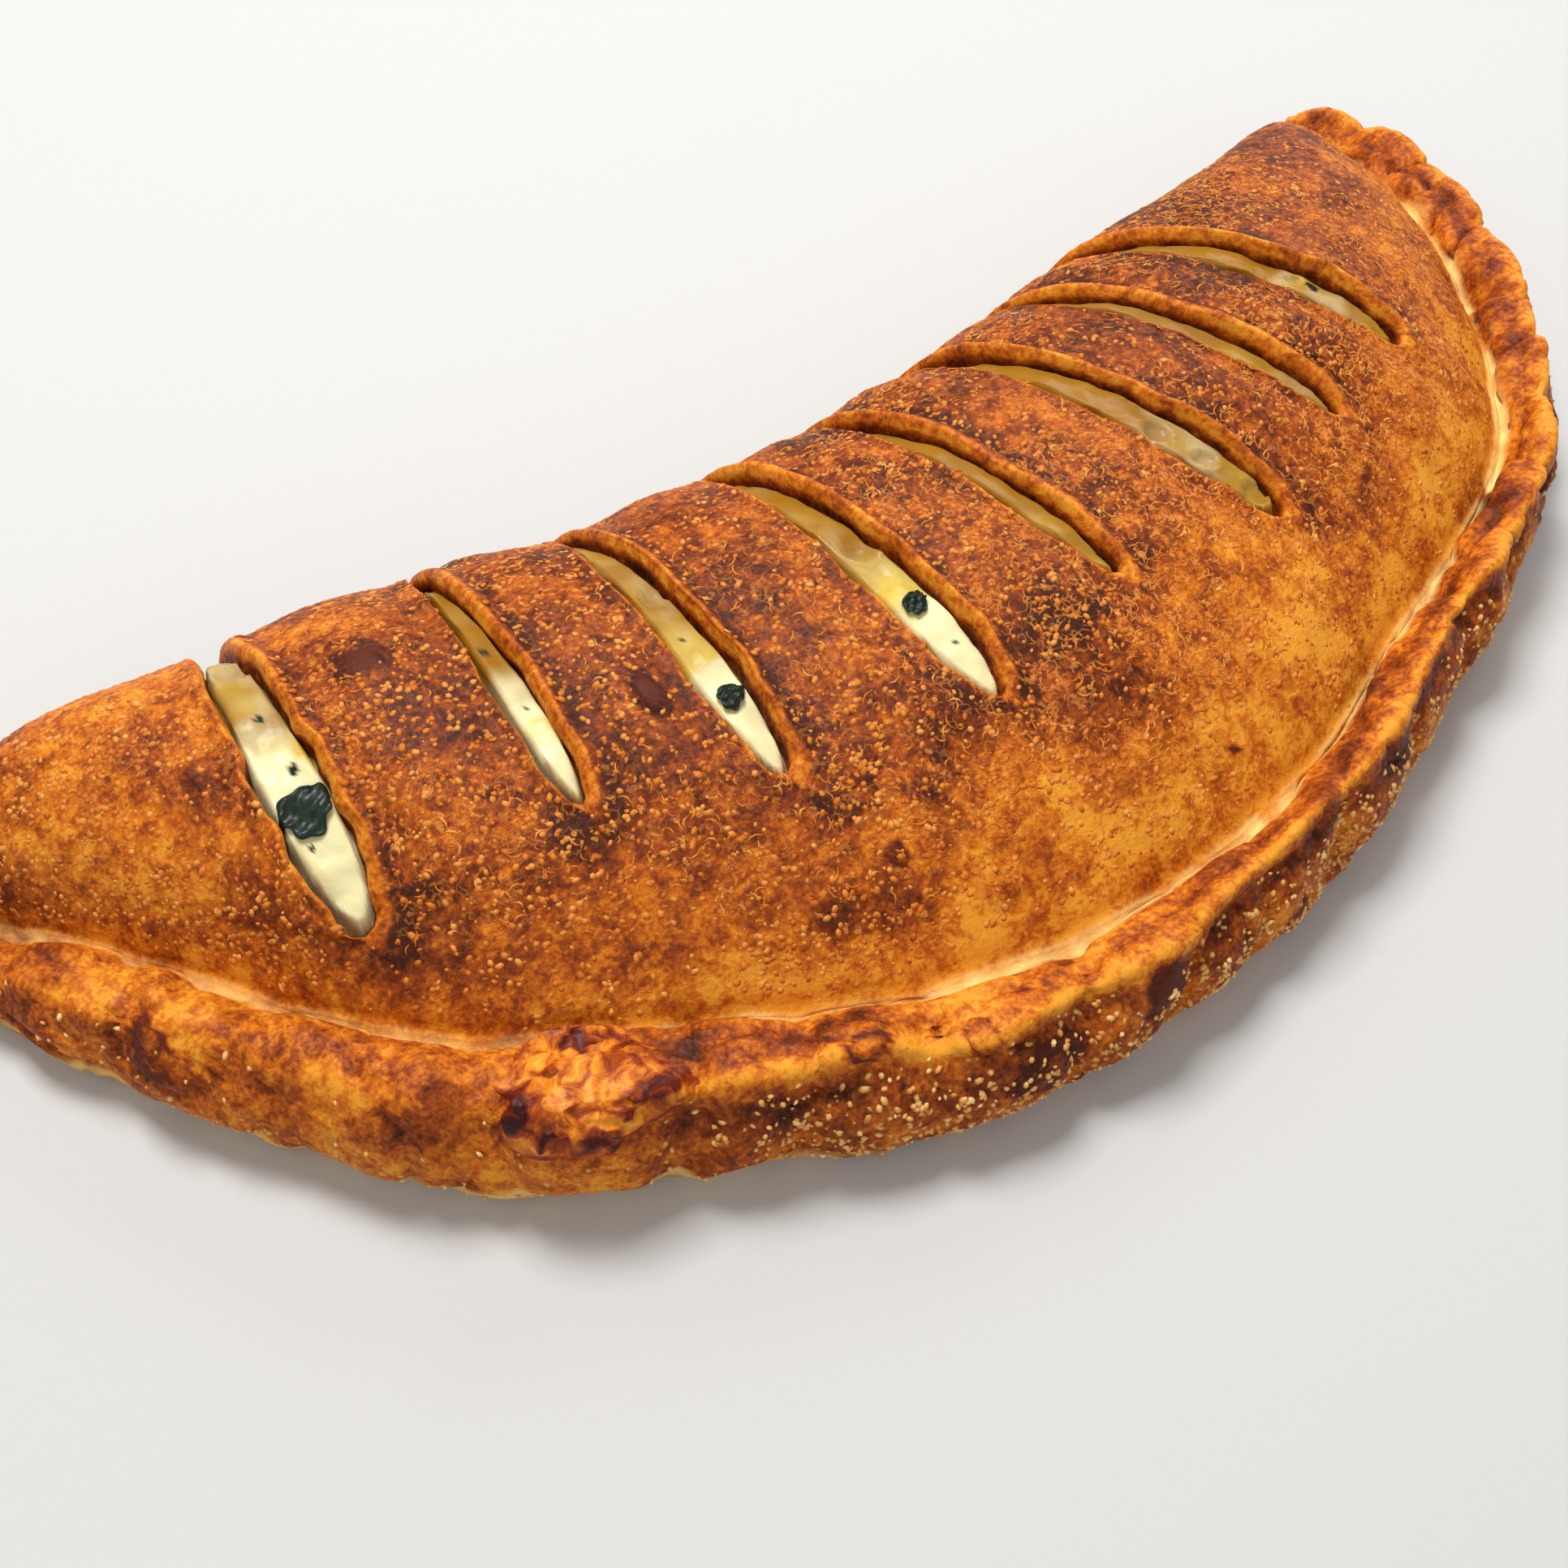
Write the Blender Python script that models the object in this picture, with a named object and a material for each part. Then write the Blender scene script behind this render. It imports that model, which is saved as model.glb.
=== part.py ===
"""A baked calzone: a half moon of dough folded over a cheese filling, its near edge rolled into a
pinched rope and its top scored with eight slits that show the cheese. Lengths are in metres."""
import bpy
import bmesh
import numpy as np
from math import radians, pi
from mathutils import Vector
from mathutils.bvhtree import BVHTree

mm = 0.001

# Driving sizes
wall = 6.5 * mm             # dough over the filling
gap = 0.35 * mm             # room between one piece and the next
floor_thick = 6.0 * mm      # dough under the filling
crest_place = 0.62          # where the dome is highest, from the seam (0) to the fold (1)
lip_rise = 2.2 * mm         # how far the crust curls up on the right of a slit
pinch_depth = 3.4 * mm      # how deep the rope's creases are
tuck_rim = 55.0             # degrees the rope turns under to its flat base
tuck_fold = 58.0            # the same for the folded side
round_end = 0.42            # how much of the end stations is rounded off

# Stations from the left tip to the right end, in millimetres:
# rim outline x, y, fold edge x, y, height of the dome, width of the rope.
stations = np.array([
    (-231, 66, -223, 78, 17, 14),
    (-206, 8, -190, 88, 36, 35),
    (-168, -51, -147, 79, 48, 34),
    (-125, -78, -104, 69, 51, 29),
    (-82, -99, -70, 59, 52, 26),
    (-32, -106, -37, 53, 53, 21),
    (17, -101, -11, 50, 54, 18),
    (63, -88, 17, 50, 54, 18),
    (98, -77, 48, 52, 53, 17),
    (129, -63, 71, 55, 52, 17),
    (160, -36, 94, 58, 48, 19),
    (186, 0, 112, 59, 43, 20),
    (198, 33, 126, 59, 37, 21),
    (200, 61, 138, 59, 31, 20),
    (175, 76, 145, 60, 22, 15)], float)
stations[:, 0:4:2] += 12.94     # the origin goes to the middle of the base's bounding box
stations[:, 1:4:2] += 9.0
last = len(stations) - 1

# Slits: station, near and far end across the dome (0 seam, 1 fold), widest opening in millimetres
slits = [(2.00, 0.19, 0.80, 12.0), (3.00, 0.36, 0.80, 8.5), (3.88, 0.34, 0.80, 9.0),
         (4.93, 0.33, 0.80, 13.0), (5.92, 0.38, 0.80, 6.5), (6.95, 0.28, 0.80, 11.5),
         (7.92, 0.30, 0.80, 5.0), (9.00, 0.27, 0.80, 7.5)]
creases = [0.6, 1.07, 1.5, 2.08, 2.86, 3.3, 3.8, 4.45, 4.95, 5.4, 5.95, 6.6, 7.3, 8.0, 8.75, 9.4, 10.2, 11.0,
           11.8, 12.6]

# How finely the crust, the cavity and the filling are divided
columns = 84
rope_rows = 9
dome_rows = 13
fold_rows = 9
base_rows = 4


def clear_scene():
    for thing in list(bpy.data.objects):
        bpy.data.objects.remove(thing, do_unlink=True)


def make_material(name, color, roughness):
    mat = bpy.data.materials.new(name)
    mat.use_nodes = True
    shader = mat.node_tree.nodes["Principled BSDF"]
    shader.inputs["Base Color"].default_value = (*color, 1.0)
    shader.inputs["Roughness"].default_value = roughness
    shader.inputs["Metallic"].default_value = 0.0
    mat.diffuse_color = (*color, 1.0)
    return mat


def station_at(t):
    """Smooth curve through the stations; t counts stations from the left tip."""
    t = np.asarray(t, float)
    i = np.clip(np.floor(t).astype(int), 0, last - 1)
    f = (t - i)[..., None]
    ends = np.vstack([2 * stations[0] - stations[1], stations, 2 * stations[-1] - stations[-2]])
    a, b, c, d = ends[i], ends[i + 1], ends[i + 2], ends[i + 3]
    q = b + 0.5 * f * (c - a + f * (2 * a - 5 * b + 4 * c - d + f * (3 * (b - c) + d - a)))
    q = q * mm
    return q[..., 0:2], q[..., 2:4], q[..., 4], q[..., 5]


def crease_wave(t):
    """0 on a crease of the rope and 1 on the roll between two creases."""
    marks = np.array([-0.2] + creases + [last + 0.3])
    k = np.clip(np.searchsorted(marks, t) - 1, 0, len(marks) - 2)
    f = (t - marks[k]) / (marks[k + 1] - marks[k])
    return np.clip(np.sin(pi * np.clip(f, 0, 1) ** 0.75), 0, 1) ** 0.5


def lip_height(t, across):
    """Rise of the dome beside each slit: the right lip curls up, the left one dips a little."""
    rise = np.zeros(np.broadcast(t, across).shape)
    for place, near, far, width in slits:
        along = np.clip((across - near + 0.04) / (far - near + 0.08), 0, 1)
        fade = np.sin(pi * along)
        side = (t - place) / 0.17
        rise = rise + lip_rise * fade * np.exp(-((side - 1.0) / 0.7) ** 2)
        rise = rise - 0.35 * lip_rise * fade * np.exp(-((side + 1.0) / 0.8) ** 2)
    return rise


def rope_section(t, turn):
    """Rope outline: turn 0 is the outer base corner, 1 the bottom of the groove at the seam."""
    rim, fold, height, rope = station_at(t)
    roll = crease_wave(t - 0.35 * (turn - 0.6))
    top = np.minimum(27.0 * mm, 0.56 * height) + 3.0 * mm - pinch_depth * (1 - roll)
    half = rope / 2
    angle = np.radians(-tuck_rim + turn * (tuck_rim + 150.0))
    middle = top * 0.38
    reach = half * np.cos(angle) - pinch_depth * (1 - roll) * np.clip(np.cos(angle), 0, 1)
    out = half - reach
    low = middle * (1 + np.sin(angle) / np.sin(radians(tuck_rim)))
    z = np.where(angle > 0, middle + (top - middle) * np.sin(angle), low)
    return out, z


def dome_section(t, across):
    """Dome from the seam (0) over the crest to the fold's base corner (1), with its lip rises."""
    rim, fold, height, rope = station_at(t)
    length = np.linalg.norm(fold - rim, axis=-1)
    seam_out, seam_z = rope_section(t, np.ones_like(t))
    crest = seam_out + crest_place * (length - seam_out)
    up = np.clip(across / 0.62, 0, 1)
    over = np.clip((across - 0.62) / 0.38, 0, 1)
    share = 0.55 * up + 0.45 * (1 - np.cos(up * pi / 2))
    rising_out = seam_out + (crest - seam_out) * share
    rising_z = seam_z + (height - seam_z) * (1 - (1 - share) ** 2.2) ** 0.85
    angle = np.radians(90 - over * (90 + tuck_fold))
    middle = 0.36 * height
    falling_out = crest + (length - crest) * np.cos(angle)
    low = middle * (1 + np.sin(angle) / np.sin(radians(tuck_fold)))
    falling_z = np.where(angle > 0, middle + (height - middle) * np.sin(angle), low)
    out = np.where(across <= 0.62, rising_out, falling_out)
    z = np.where(across <= 0.62, rising_z, falling_z)
    return out, z


def place(t, out, z):
    rim, fold, height, rope = station_at(t)
    chord = (fold - rim) / np.linalg.norm(fold - rim, axis=-1)[..., None]
    flat = rim + chord * out[..., None]
    return np.concatenate([flat, z[..., None]], axis=-1)


def inner_section(t, across, depth):
    """The dome's inside: its section moved inwards by depth."""
    step = 0.01
    out, z = dome_section(t, across)
    out_a, z_a = dome_section(t, np.clip(across - step, 0, 1))
    out_b, z_b = dome_section(t, np.clip(across + step, 0, 1))
    du, dz = out_b - out_a, z_b - z_a
    size = np.hypot(du, dz)
    return out + dz / size * depth, z - du / size * depth


def face_outward(mesh):
    work = bmesh.new()
    work.from_mesh(mesh)
    bmesh.ops.recalc_face_normals(work, faces=work.faces)
    work.to_mesh(mesh)
    work.free()


def loft(name, rings, collection, mat):
    """Closed body of triangles through rings of points, with a fan at both ends. Bodies that lie one
    inside the other are split along the same diagonals, so they stay clear of each other."""
    count, around, _ = rings.shape
    verts = rings.reshape(-1, 3).tolist()
    faces = []
    for i in range(count - 1):
        for j in range(around):
            k = (j + 1) % around
            a, b, c, d = i * around + j, i * around + k, (i + 1) * around + k, (i + 1) * around + j
            faces += [(a, b, c), (a, c, d)]
    for i, flip in ((0, True), (count - 1, False)):
        centre = len(verts)
        verts.append(rings[i].mean(axis=0).tolist())
        for j in range(around):
            a, b = i * around + j, i * around + (j + 1) % around
            faces.append((centre, b, a) if flip else (centre, a, b))
    mesh = bpy.data.meshes.new(name)
    mesh.from_pydata(verts, [], faces)
    face_outward(mesh)
    thing = bpy.data.objects.new(name, mesh)
    collection.objects.link(thing)
    if mat:
        mesh.materials.append(mat)
    return thing


def round_ends(rings, t):
    """Sections near an end shrink towards their middle as a quarter circle."""
    e = np.clip(np.minimum(t, last - t) / round_end, 0, 1)
    keep = np.sqrt(1 - (1 - e) ** 2) * 0.9 + 0.1
    centre = rings.mean(axis=1, keepdims=True)
    return centre + (rings - centre) * keep[:, None, None]


def crust_rings():
    ends = np.array([0.03, 0.08])
    t = np.concatenate([ends, np.linspace(0, last, columns + 1), last - ends])
    t = np.sort(t)[:, None]
    turn = np.linspace(0, 1, rope_rows)[None, :]
    across = np.concatenate([np.linspace(0, 0.62, dome_rows)[1:], np.linspace(0.62, 1, fold_rows)[1:]])[None, :]
    t_rope, turn = np.broadcast_arrays(t, turn)
    t_dome, across = np.broadcast_arrays(t, across)
    rope = place(t_rope, *rope_section(t_rope, turn))
    dome = place(t_dome, *dome_section(t_dome, across))
    dome[..., 2] += lip_height(t_dome, across) * (across < 0.9)
    share = np.linspace(0, 1, base_rows + 1)[1:-1][None, :, None]
    base = dome[:, -1:, :] * (1 - share) + rope[:, :1, :] * share
    rings = np.concatenate([rope, dome, base], axis=1)
    return round_ends(rings, t[:, 0])[:, ::-1]


def inner_rings(extra):
    """The cavity's rings, or with extra > 0 the filling's, which clears it by that much."""
    t = np.linspace(1.15, last - 1.35, 62)[:, None]
    across = np.linspace(0.09, 0.90, 17)[None, :]
    t, across = np.broadcast_arrays(t, across)
    out, z = inner_section(t, across, wall + extra)
    z = np.maximum(z, floor_thick + 5.0 * mm - extra)
    low = np.full(t[:, :1].shape, floor_thick + extra)
    width = out[:, -1:] - out[:, :1]
    out = np.concatenate([out, out[:, -1:] - 0.10 * width, out[:, :1] + 0.5 * width, out[:, :1] + 0.06 * width], axis=1)
    z = np.concatenate([z, low, low, low], axis=1)
    rings = place(np.broadcast_to(t[:, :1], out.shape), out, z)
    ends = np.clip(np.minimum(t[:, 0] - 1.15, last - 1.35 - t[:, 0]) / 0.7, 0, 1)
    swell = 0.45 + 0.55 * np.sqrt(1 - (1 - ends) ** 2)
    swell = (swell * (1 - extra / (8.0 * mm) * (1 - ends)))[:, None, None]
    centre = rings.mean(axis=1, keepdims=True)
    rings = centre + (rings - centre) * swell
    if extra > 0:
        rings[0] += (rings[1] - rings[0]) * 0.15
        rings[-1] += (rings[-2] - rings[-1]) * 0.15
    return rings[:, ::-1]


def slit_cutter(name, number, collection):
    """Upright lens through the dome, along one station from near the seam to behind the crest."""
    place_t, near, far, width = slits[number]
    steps = 9
    share = np.linspace(0.02, 0.98, steps)
    across = near + (far - near) * share
    t = np.full(steps, place_t)
    out, z = dome_section(t, across)
    middle = place(t, out, z)
    rim, fold, height, rope = station_at(np.array(place_t))
    chord = (fold - rim) / np.linalg.norm(fold - rim)
    side = np.array([chord[1], -chord[0], 0.0])
    half = 0.5 * width * mm * np.sin(pi * share) ** 0.6
    bottom = z - wall - 3.0 * mm
    top = z + 8.0 * mm
    rings = np.zeros((steps, 4, 3))
    for k, (sign, level) in enumerate(((-1, bottom), (1, bottom), (1, top), (-1, top))):
        rings[:, k] = middle + side * (sign * half)[:, None]
        rings[:, k, 2] = level
    return loft(name, rings, collection, None)


def cut(target, tool, label):
    step = target.modifiers.new(label, "BOOLEAN")
    step.operation = "DIFFERENCE"
    step.solver = "EXACT"
    step.object = tool
    tool.hide_render = True
    tool.display_type = "WIRE"


def blob(name, centre, size, turn, collection, mat, rings=12, segments=20):
    """Egg-shaped lump from a UV sphere."""
    bpy.ops.mesh.primitive_uv_sphere_add(segments=segments, ring_count=rings, radius=1.0)
    thing = bpy.context.object
    thing.name = name
    thing.data.name = name
    for old in list(thing.users_collection):
        old.objects.unlink(thing)
    collection.objects.link(thing)
    thing.location = centre
    thing.scale = size
    thing.rotation_euler = turn
    bpy.ops.object.select_all(action="DESELECT")
    thing.select_set(True)
    bpy.context.view_layer.objects.active = thing
    bpy.ops.object.transform_apply(location=True, rotation=True, scale=True)
    if mat:
        thing.data.materials.append(mat)
    return thing


def leaf(name, number, across, length, width, turn, under_it, collection, mat):
    """A thin wavy scrap of leaf lying on the filling inside a slit."""
    place_t = slits[number][0]
    cols, rows = 8, 6
    u, v = np.meshgrid(np.linspace(-1, 1, cols), np.linspace(-1, 1, rows), indexing="ij")
    round_u = u * np.sqrt(1 - 0.42 * v ** 2)
    round_v = v * np.sqrt(1 - 0.42 * u ** 2)
    x, y = round_u * length / 2, round_v * width / 2
    a, b = np.cos(turn), np.sin(turn)
    dx, dy = x * a - y * b, x * b + y * a
    rim, fold, height, rope = station_at(np.array(place_t))
    chord_len = np.linalg.norm(fold - rim)
    chord = (fold - rim) / chord_len
    side = np.array([chord[1], -chord[0]])
    out, z = inner_section(np.array(place_t), np.array(across), wall + gap)
    centre = rim + chord * out
    flat = centre + chord * dy[..., None] + side * dx[..., None]
    tree = BVHTree.FromObject(under_it, bpy.context.evaluated_depsgraph_get())
    level = np.zeros(u.shape)
    for i in range(cols):
        for j in range(rows):
            hit = tree.ray_cast(Vector((flat[i, j, 0], flat[i, j, 1], 0.2)), Vector((0, 0, -1)))
            level[i, j] = hit[0].z
    wave = 0.9 * mm * (1 + np.sin(5 * u + 2 * v)) * 0.5
    lift = gap + 0.15 * mm + wave
    thick = 0.5 * mm
    under = np.concatenate([flat, (level + lift)[..., None]], axis=-1)
    over = under + np.array([0, 0, thick])
    verts = under.reshape(-1, 3).tolist() + over.reshape(-1, 3).tolist()
    half = cols * rows
    faces = []
    for i in range(cols - 1):
        for j in range(rows - 1):
            p, q, r, s = i * rows + j, (i + 1) * rows + j, (i + 1) * rows + j + 1, i * rows + j + 1
            faces += [(p, r, q), (p, s, r), (p + half, q + half, r + half), (p + half, r + half, s + half)]
    edge = [i * rows for i in range(cols)] + [(cols - 1) * rows + j for j in range(1, rows)]
    edge += [i * rows + rows - 1 for i in range(cols - 2, -1, -1)] + [j for j in range(rows - 2, 0, -1)]
    for k in range(len(edge)):
        a0, b0 = edge[k], edge[(k + 1) % len(edge)]
        faces.append((a0, b0, b0 + half, a0 + half))
    mesh = bpy.data.meshes.new(name)
    mesh.from_pydata(verts, [], faces)
    face_outward(mesh)
    thing = bpy.data.objects.new(name, mesh)
    mesh.materials.append(mat)
    collection.objects.link(thing)
    return thing


clear_scene()
calzone = bpy.data.collections.new("calzone")
tools = bpy.data.collections.new("cutters")
bpy.context.scene.collection.children.link(calzone)
bpy.context.scene.collection.children.link(tools)

crust_mat = make_material("crust", (0.42, 0.16, 0.035), 0.55)
cheese_mat = make_material("cheese", (0.86, 0.80, 0.58), 0.35)
leak_mat = make_material("baked_cheese", (0.62, 0.26, 0.05), 0.4)
spinach_mat = make_material("spinach", (0.03, 0.07, 0.03), 0.5)

crust = loft("crust", crust_rings(), calzone, crust_mat)
cavity = loft("cavity_cutter", inner_rings(0.0), tools, None)
cut(crust, cavity, "cavity")
for number in range(len(slits)):
    cut(crust, slit_cutter(f"slit_cutter_{number + 1}", number, tools), f"slit_{number + 1}")

filling = loft("filling", inner_rings(gap), calzone, cheese_mat)

# Cheese that broke through the front of the rope and baked there, sitting in its own pocket
leak_station = np.array(2.44)
leak_place = place(leak_station, *rope_section(leak_station, np.array(0.62)))
leak_turn = (radians(40), 0, radians(-33))
leak_size = (20 * mm, 11.5 * mm, 3.6 * mm)
blob("leaked_cheese", leak_place, leak_size, leak_turn, calzone, leak_mat)
pocket_size = tuple(side + 0.5 * mm for side in leak_size)
pocket = blob("pocket_cutter", leak_place, pocket_size, leak_turn, tools, None)
cut(crust, pocket, "leak_pocket")

leaf("spinach_leaf_1", 0, 0.42, 9.5 * mm, 8.5 * mm, radians(15), filling, calzone, spinach_mat)
leaf("spinach_leaf_2", 2, 0.48, 4.6 * mm, 5.0 * mm, radians(-10), filling, calzone, spinach_mat)
leaf("spinach_leaf_3", 3, 0.51, 5.5 * mm, 4.4 * mm, radians(25), filling, calzone, spinach_mat)
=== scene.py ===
import bpy
import numpy as np
from math import radians, pi
from mathutils import Matrix, Vector


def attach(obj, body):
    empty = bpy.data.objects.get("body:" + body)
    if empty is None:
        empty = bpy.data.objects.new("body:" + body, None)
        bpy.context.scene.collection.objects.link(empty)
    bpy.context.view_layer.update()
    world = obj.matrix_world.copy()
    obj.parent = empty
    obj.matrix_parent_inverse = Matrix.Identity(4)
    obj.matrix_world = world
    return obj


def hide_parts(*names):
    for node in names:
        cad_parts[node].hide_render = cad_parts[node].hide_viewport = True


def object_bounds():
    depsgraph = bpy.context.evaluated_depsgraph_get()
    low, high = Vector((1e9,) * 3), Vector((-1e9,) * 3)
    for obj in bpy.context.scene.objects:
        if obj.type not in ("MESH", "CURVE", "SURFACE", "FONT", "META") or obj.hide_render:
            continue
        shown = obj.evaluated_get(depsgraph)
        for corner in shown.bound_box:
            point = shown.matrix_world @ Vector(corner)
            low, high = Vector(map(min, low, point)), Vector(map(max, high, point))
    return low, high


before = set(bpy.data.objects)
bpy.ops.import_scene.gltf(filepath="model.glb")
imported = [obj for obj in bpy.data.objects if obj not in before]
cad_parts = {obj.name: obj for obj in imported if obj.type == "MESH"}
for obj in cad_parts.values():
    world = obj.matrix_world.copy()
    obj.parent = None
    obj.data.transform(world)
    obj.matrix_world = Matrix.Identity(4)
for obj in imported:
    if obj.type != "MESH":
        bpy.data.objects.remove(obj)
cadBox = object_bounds()
print("frame loaded:", ", ".join(sorted(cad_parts)))

mm = 0.001

# Form of the whole calzone, the same named sizes as the solids
form = {
    "wall": 6.5 * mm,             # dough over the filling
    "floorThick": 6.0 * mm,       # dough under the filling
    "crest": 0.62,                # highest line of the dome, seam 0 to fold 1
    "pinchDepth": 3.4 * mm,       # depth of the rope's creases
    "tuckRim": 55.0,              # degrees the rope turns under
    "tuckFold": 58.0,             # degrees the folded side turns under
    "roundEnd": 0.42,             # stations over which an end is rounded off
    "slitReach": 0.9,             # stations to either side that a slit pulls at
    "slitFade": 15 * mm,          # distance over which that pull fades
}

# rim outline x, y, fold edge x, y, dome height, rope width, in millimetres
stations = np.array([
    (-231, 66, -223, 78, 17, 14), (-206, 8, -190, 88, 36, 35), (-168, -51, -147, 79, 48, 34),
    (-125, -78, -104, 69, 51, 29), (-82, -99, -70, 59, 52, 26), (-32, -106, -37, 53, 53, 21),
    (17, -101, -11, 50, 54, 18), (63, -88, 17, 50, 54, 18), (98, -77, 48, 52, 53, 17),
    (129, -63, 71, 55, 52, 17), (160, -36, 94, 58, 48, 19), (186, 0, 112, 59, 43, 20),
    (198, 33, 126, 59, 37, 21), (200, 61, 138, 59, 31, 20), (175, 76, 145, 60, 22, 15)], float)
stations[:, 0:4:2] += 12.94
stations[:, 1:4:2] += 9.0
lastStation = len(stations) - 1

# slits: station, near end, far end across the dome, widest opening (mm), rise of the right lip (mm)
slits = [(2.00, 0.20, 0.87, 14.0, 1.8), (3.00, 0.37, 0.80, 8.5, 2.0), (3.88, 0.36, 0.80, 11.0, 2.0),
         (4.93, 0.355, 0.80, 12.5, 2.2), (5.92, 0.40, 0.80, 8.5, 2.0), (6.95, 0.29, 0.80, 12.5, 2.2),
         (7.92, 0.325, 0.80, 8.5, 2.0), (9.00, 0.295, 0.80, 11.5, 2.0)]
creases = [0.6, 1.07, 1.5, 2.08, 2.86, 3.3, 3.8, 4.45, 4.95, 5.4, 5.95, 6.6, 7.3, 8.0, 8.75, 9.4, 10.2, 11.0,
           11.8, 12.6]


# Random value in -1..1 at each whole-number corner of space, from a mixed-up product of its coordinates
def cornerValue(ix, iy, iz, seed):
    h = (ix.astype(np.int64) * 374761393 + iy.astype(np.int64) * 668265263
         + iz.astype(np.int64) * 2147483647 + seed * 1274126177) & 0xFFFFFFFF
    h = ((h ^ (h >> 13)) * 1103515245) & 0xFFFFFFFF
    h = ((h ^ (h >> 16)) * 2246822519) & 0xFFFFFFFF
    h = h ^ (h >> 15)
    return (h & 0xFFFFFF) / float(0x7FFFFF) - 1.0


# Smooth noise: the eight corner values round a point, blended by the eased distance to each
def softNoise(points, size, seed=0):
    q = points / size
    base = np.floor(q)
    f = q - base
    f = f * f * f * (f * (f * 6 - 15) + 10)
    total = 0
    for corner in np.ndindex(2, 2, 2):
        wx, wy, wz = (f[..., k] if corner[k] else 1 - f[..., k] for k in range(3))
        ix, iy, iz = (base[..., k] + corner[k] for k in range(3))
        total = total + wx * wy * wz * cornerValue(ix, iy, iz, seed)
    return total


# Cloudy noise: octaves of soft noise, each half the size and half the strength of the one before
def cloudNoise(points, size, octaves=3, seed=0):
    total, strength = 0, 1.0
    for k in range(octaves):
        total = total + strength * softNoise(points + 0.37 * size * k, size / 2 ** k, seed + 17 * k)
        strength *= 0.5
    return total / 1.75


# 0 under low, 1 over high, eased between
def easeStep(x, low, high):
    s = np.clip((x - low) / (high - low), 0, 1)
    return s * s * (3 - 2 * s)


# A bump of height 1 at a middle value, falling off like a bell
def bell(x, middle, width):
    return np.exp(-((x - middle) / width) ** 2)


# Smooth curve through the stations: a cubic between each pair, with the slope of its neighbours
def stationAt(t):
    t = np.asarray(t, float)
    i = np.clip(np.floor(t).astype(int), 0, lastStation - 1)
    f = (t - i)[..., None]
    ends = np.vstack([2 * stations[0] - stations[1], stations, 2 * stations[-1] - stations[-2]])
    a, b, c, d = ends[i], ends[i + 1], ends[i + 2], ends[i + 3]
    q = b + 0.5 * f * (c - a + f * (2 * a - 5 * b + 4 * c - d + f * (3 * (b - c) + d - a)))
    q = q * mm
    return q[..., 0:2], q[..., 2:4], q[..., 4], q[..., 5]


# Unit vector on the plan from the rim to the fold edge at each station
def chordAt(t):
    rim, fold, height, rope = stationAt(t)
    return (fold - rim) / np.linalg.norm(fold - rim, axis=-1)[..., None]


# Unit vector along the length of the calzone at each station, square to that chord
def sideVector(t):
    chord = chordAt(t)
    return np.stack([chord[..., 1], -chord[..., 0], np.zeros(chord.shape[:-1])], axis=-1)


# The rope's rolls: a half sine between each pair of creases, 0 on the crease and 1 on the roll
def creaseWave(t):
    marks = np.array([-0.2] + creases + [lastStation + 0.3])
    k = np.clip(np.searchsorted(marks, t) - 1, 0, len(marks) - 2)
    f = (t - marks[k]) / (marks[k + 1] - marks[k])
    return np.clip(np.sin(pi * np.clip(f, 0, 1) ** 0.75), 0, 1) ** 0.5


# Rope outline: an arc from the outer base corner (turn 0) over the top to the groove (turn 1)
def ropeSection(t, turn):
    rim, fold, height, rope = stationAt(t)
    pinch = form["pinchDepth"] * (1 - creaseWave(t - 0.35 * (turn - 0.6)))
    top = np.minimum(27.0 * mm, 0.56 * height) + 3.0 * mm - pinch
    half = rope / 2
    angle = np.radians(-form["tuckRim"] + turn * (form["tuckRim"] + 150.0))
    middle = top * 0.38
    reach = half * np.cos(angle) - pinch * np.clip(np.cos(angle), 0, 1)
    low = middle * (1 + np.sin(angle) / np.sin(radians(form["tuckRim"])))
    return half - reach, np.where(angle > 0, middle + (top - middle) * np.sin(angle), low)


# Dome: a swelling rise from the seam to the crest, then an elliptic arc down and under the folded side
def domeSection(t, across):
    rim, fold, height, rope = stationAt(t)
    length = np.linalg.norm(fold - rim, axis=-1)
    seamOut, seamZ = ropeSection(t, np.ones_like(t))
    crest = seamOut + form["crest"] * (length - seamOut)
    up = np.clip(across / form["crest"], 0, 1)
    over = np.clip((across - form["crest"]) / (1 - form["crest"]), 0, 1)
    share = 0.55 * up + 0.45 * (1 - np.cos(up * pi / 2))
    risingOut = seamOut + (crest - seamOut) * share
    risingZ = seamZ + (height - seamZ) * (1 - (1 - share) ** 2.2) ** 0.85
    angle = np.radians(90 - over * (90 + form["tuckFold"]))
    middle = 0.36 * height
    fallingOut = crest + (length - crest) * np.cos(angle)
    low = middle * (1 + np.sin(angle) / np.sin(radians(form["tuckFold"])))
    fallingZ = np.where(angle > 0, middle + (height - middle) * np.sin(angle), low)
    rising = across <= form["crest"]
    return np.where(rising, risingOut, fallingOut), np.where(rising, risingZ, fallingZ)


# The dome's inside: each point of its section moved inwards, square to the section's slope
def innerSection(t, across, depth):
    out, z = domeSection(t, across)
    outA, zA = domeSection(t, np.clip(across - 0.01, 0, 1))
    outB, zB = domeSection(t, np.clip(across + 0.01, 0, 1))
    du, dz = outB - outA, zB - zA
    size = np.hypot(du, dz)
    return out + dz / size * depth, z - du / size * depth


# Points in space from stations, distances from the rim along the chord, and heights
def placePoints(t, out, z):
    rim = stationAt(t)[0]
    return np.concatenate([rim + chordAt(t) * out[..., None], z[..., None]], axis=-1)


# One point of a section, and the side vector there
def spotOn(section, place, across, *depth):
    one = np.array([float(place)])
    return placePoints(one, *section(one, np.array([float(across)]), *depth))[0], sideVector(one)[0]


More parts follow.
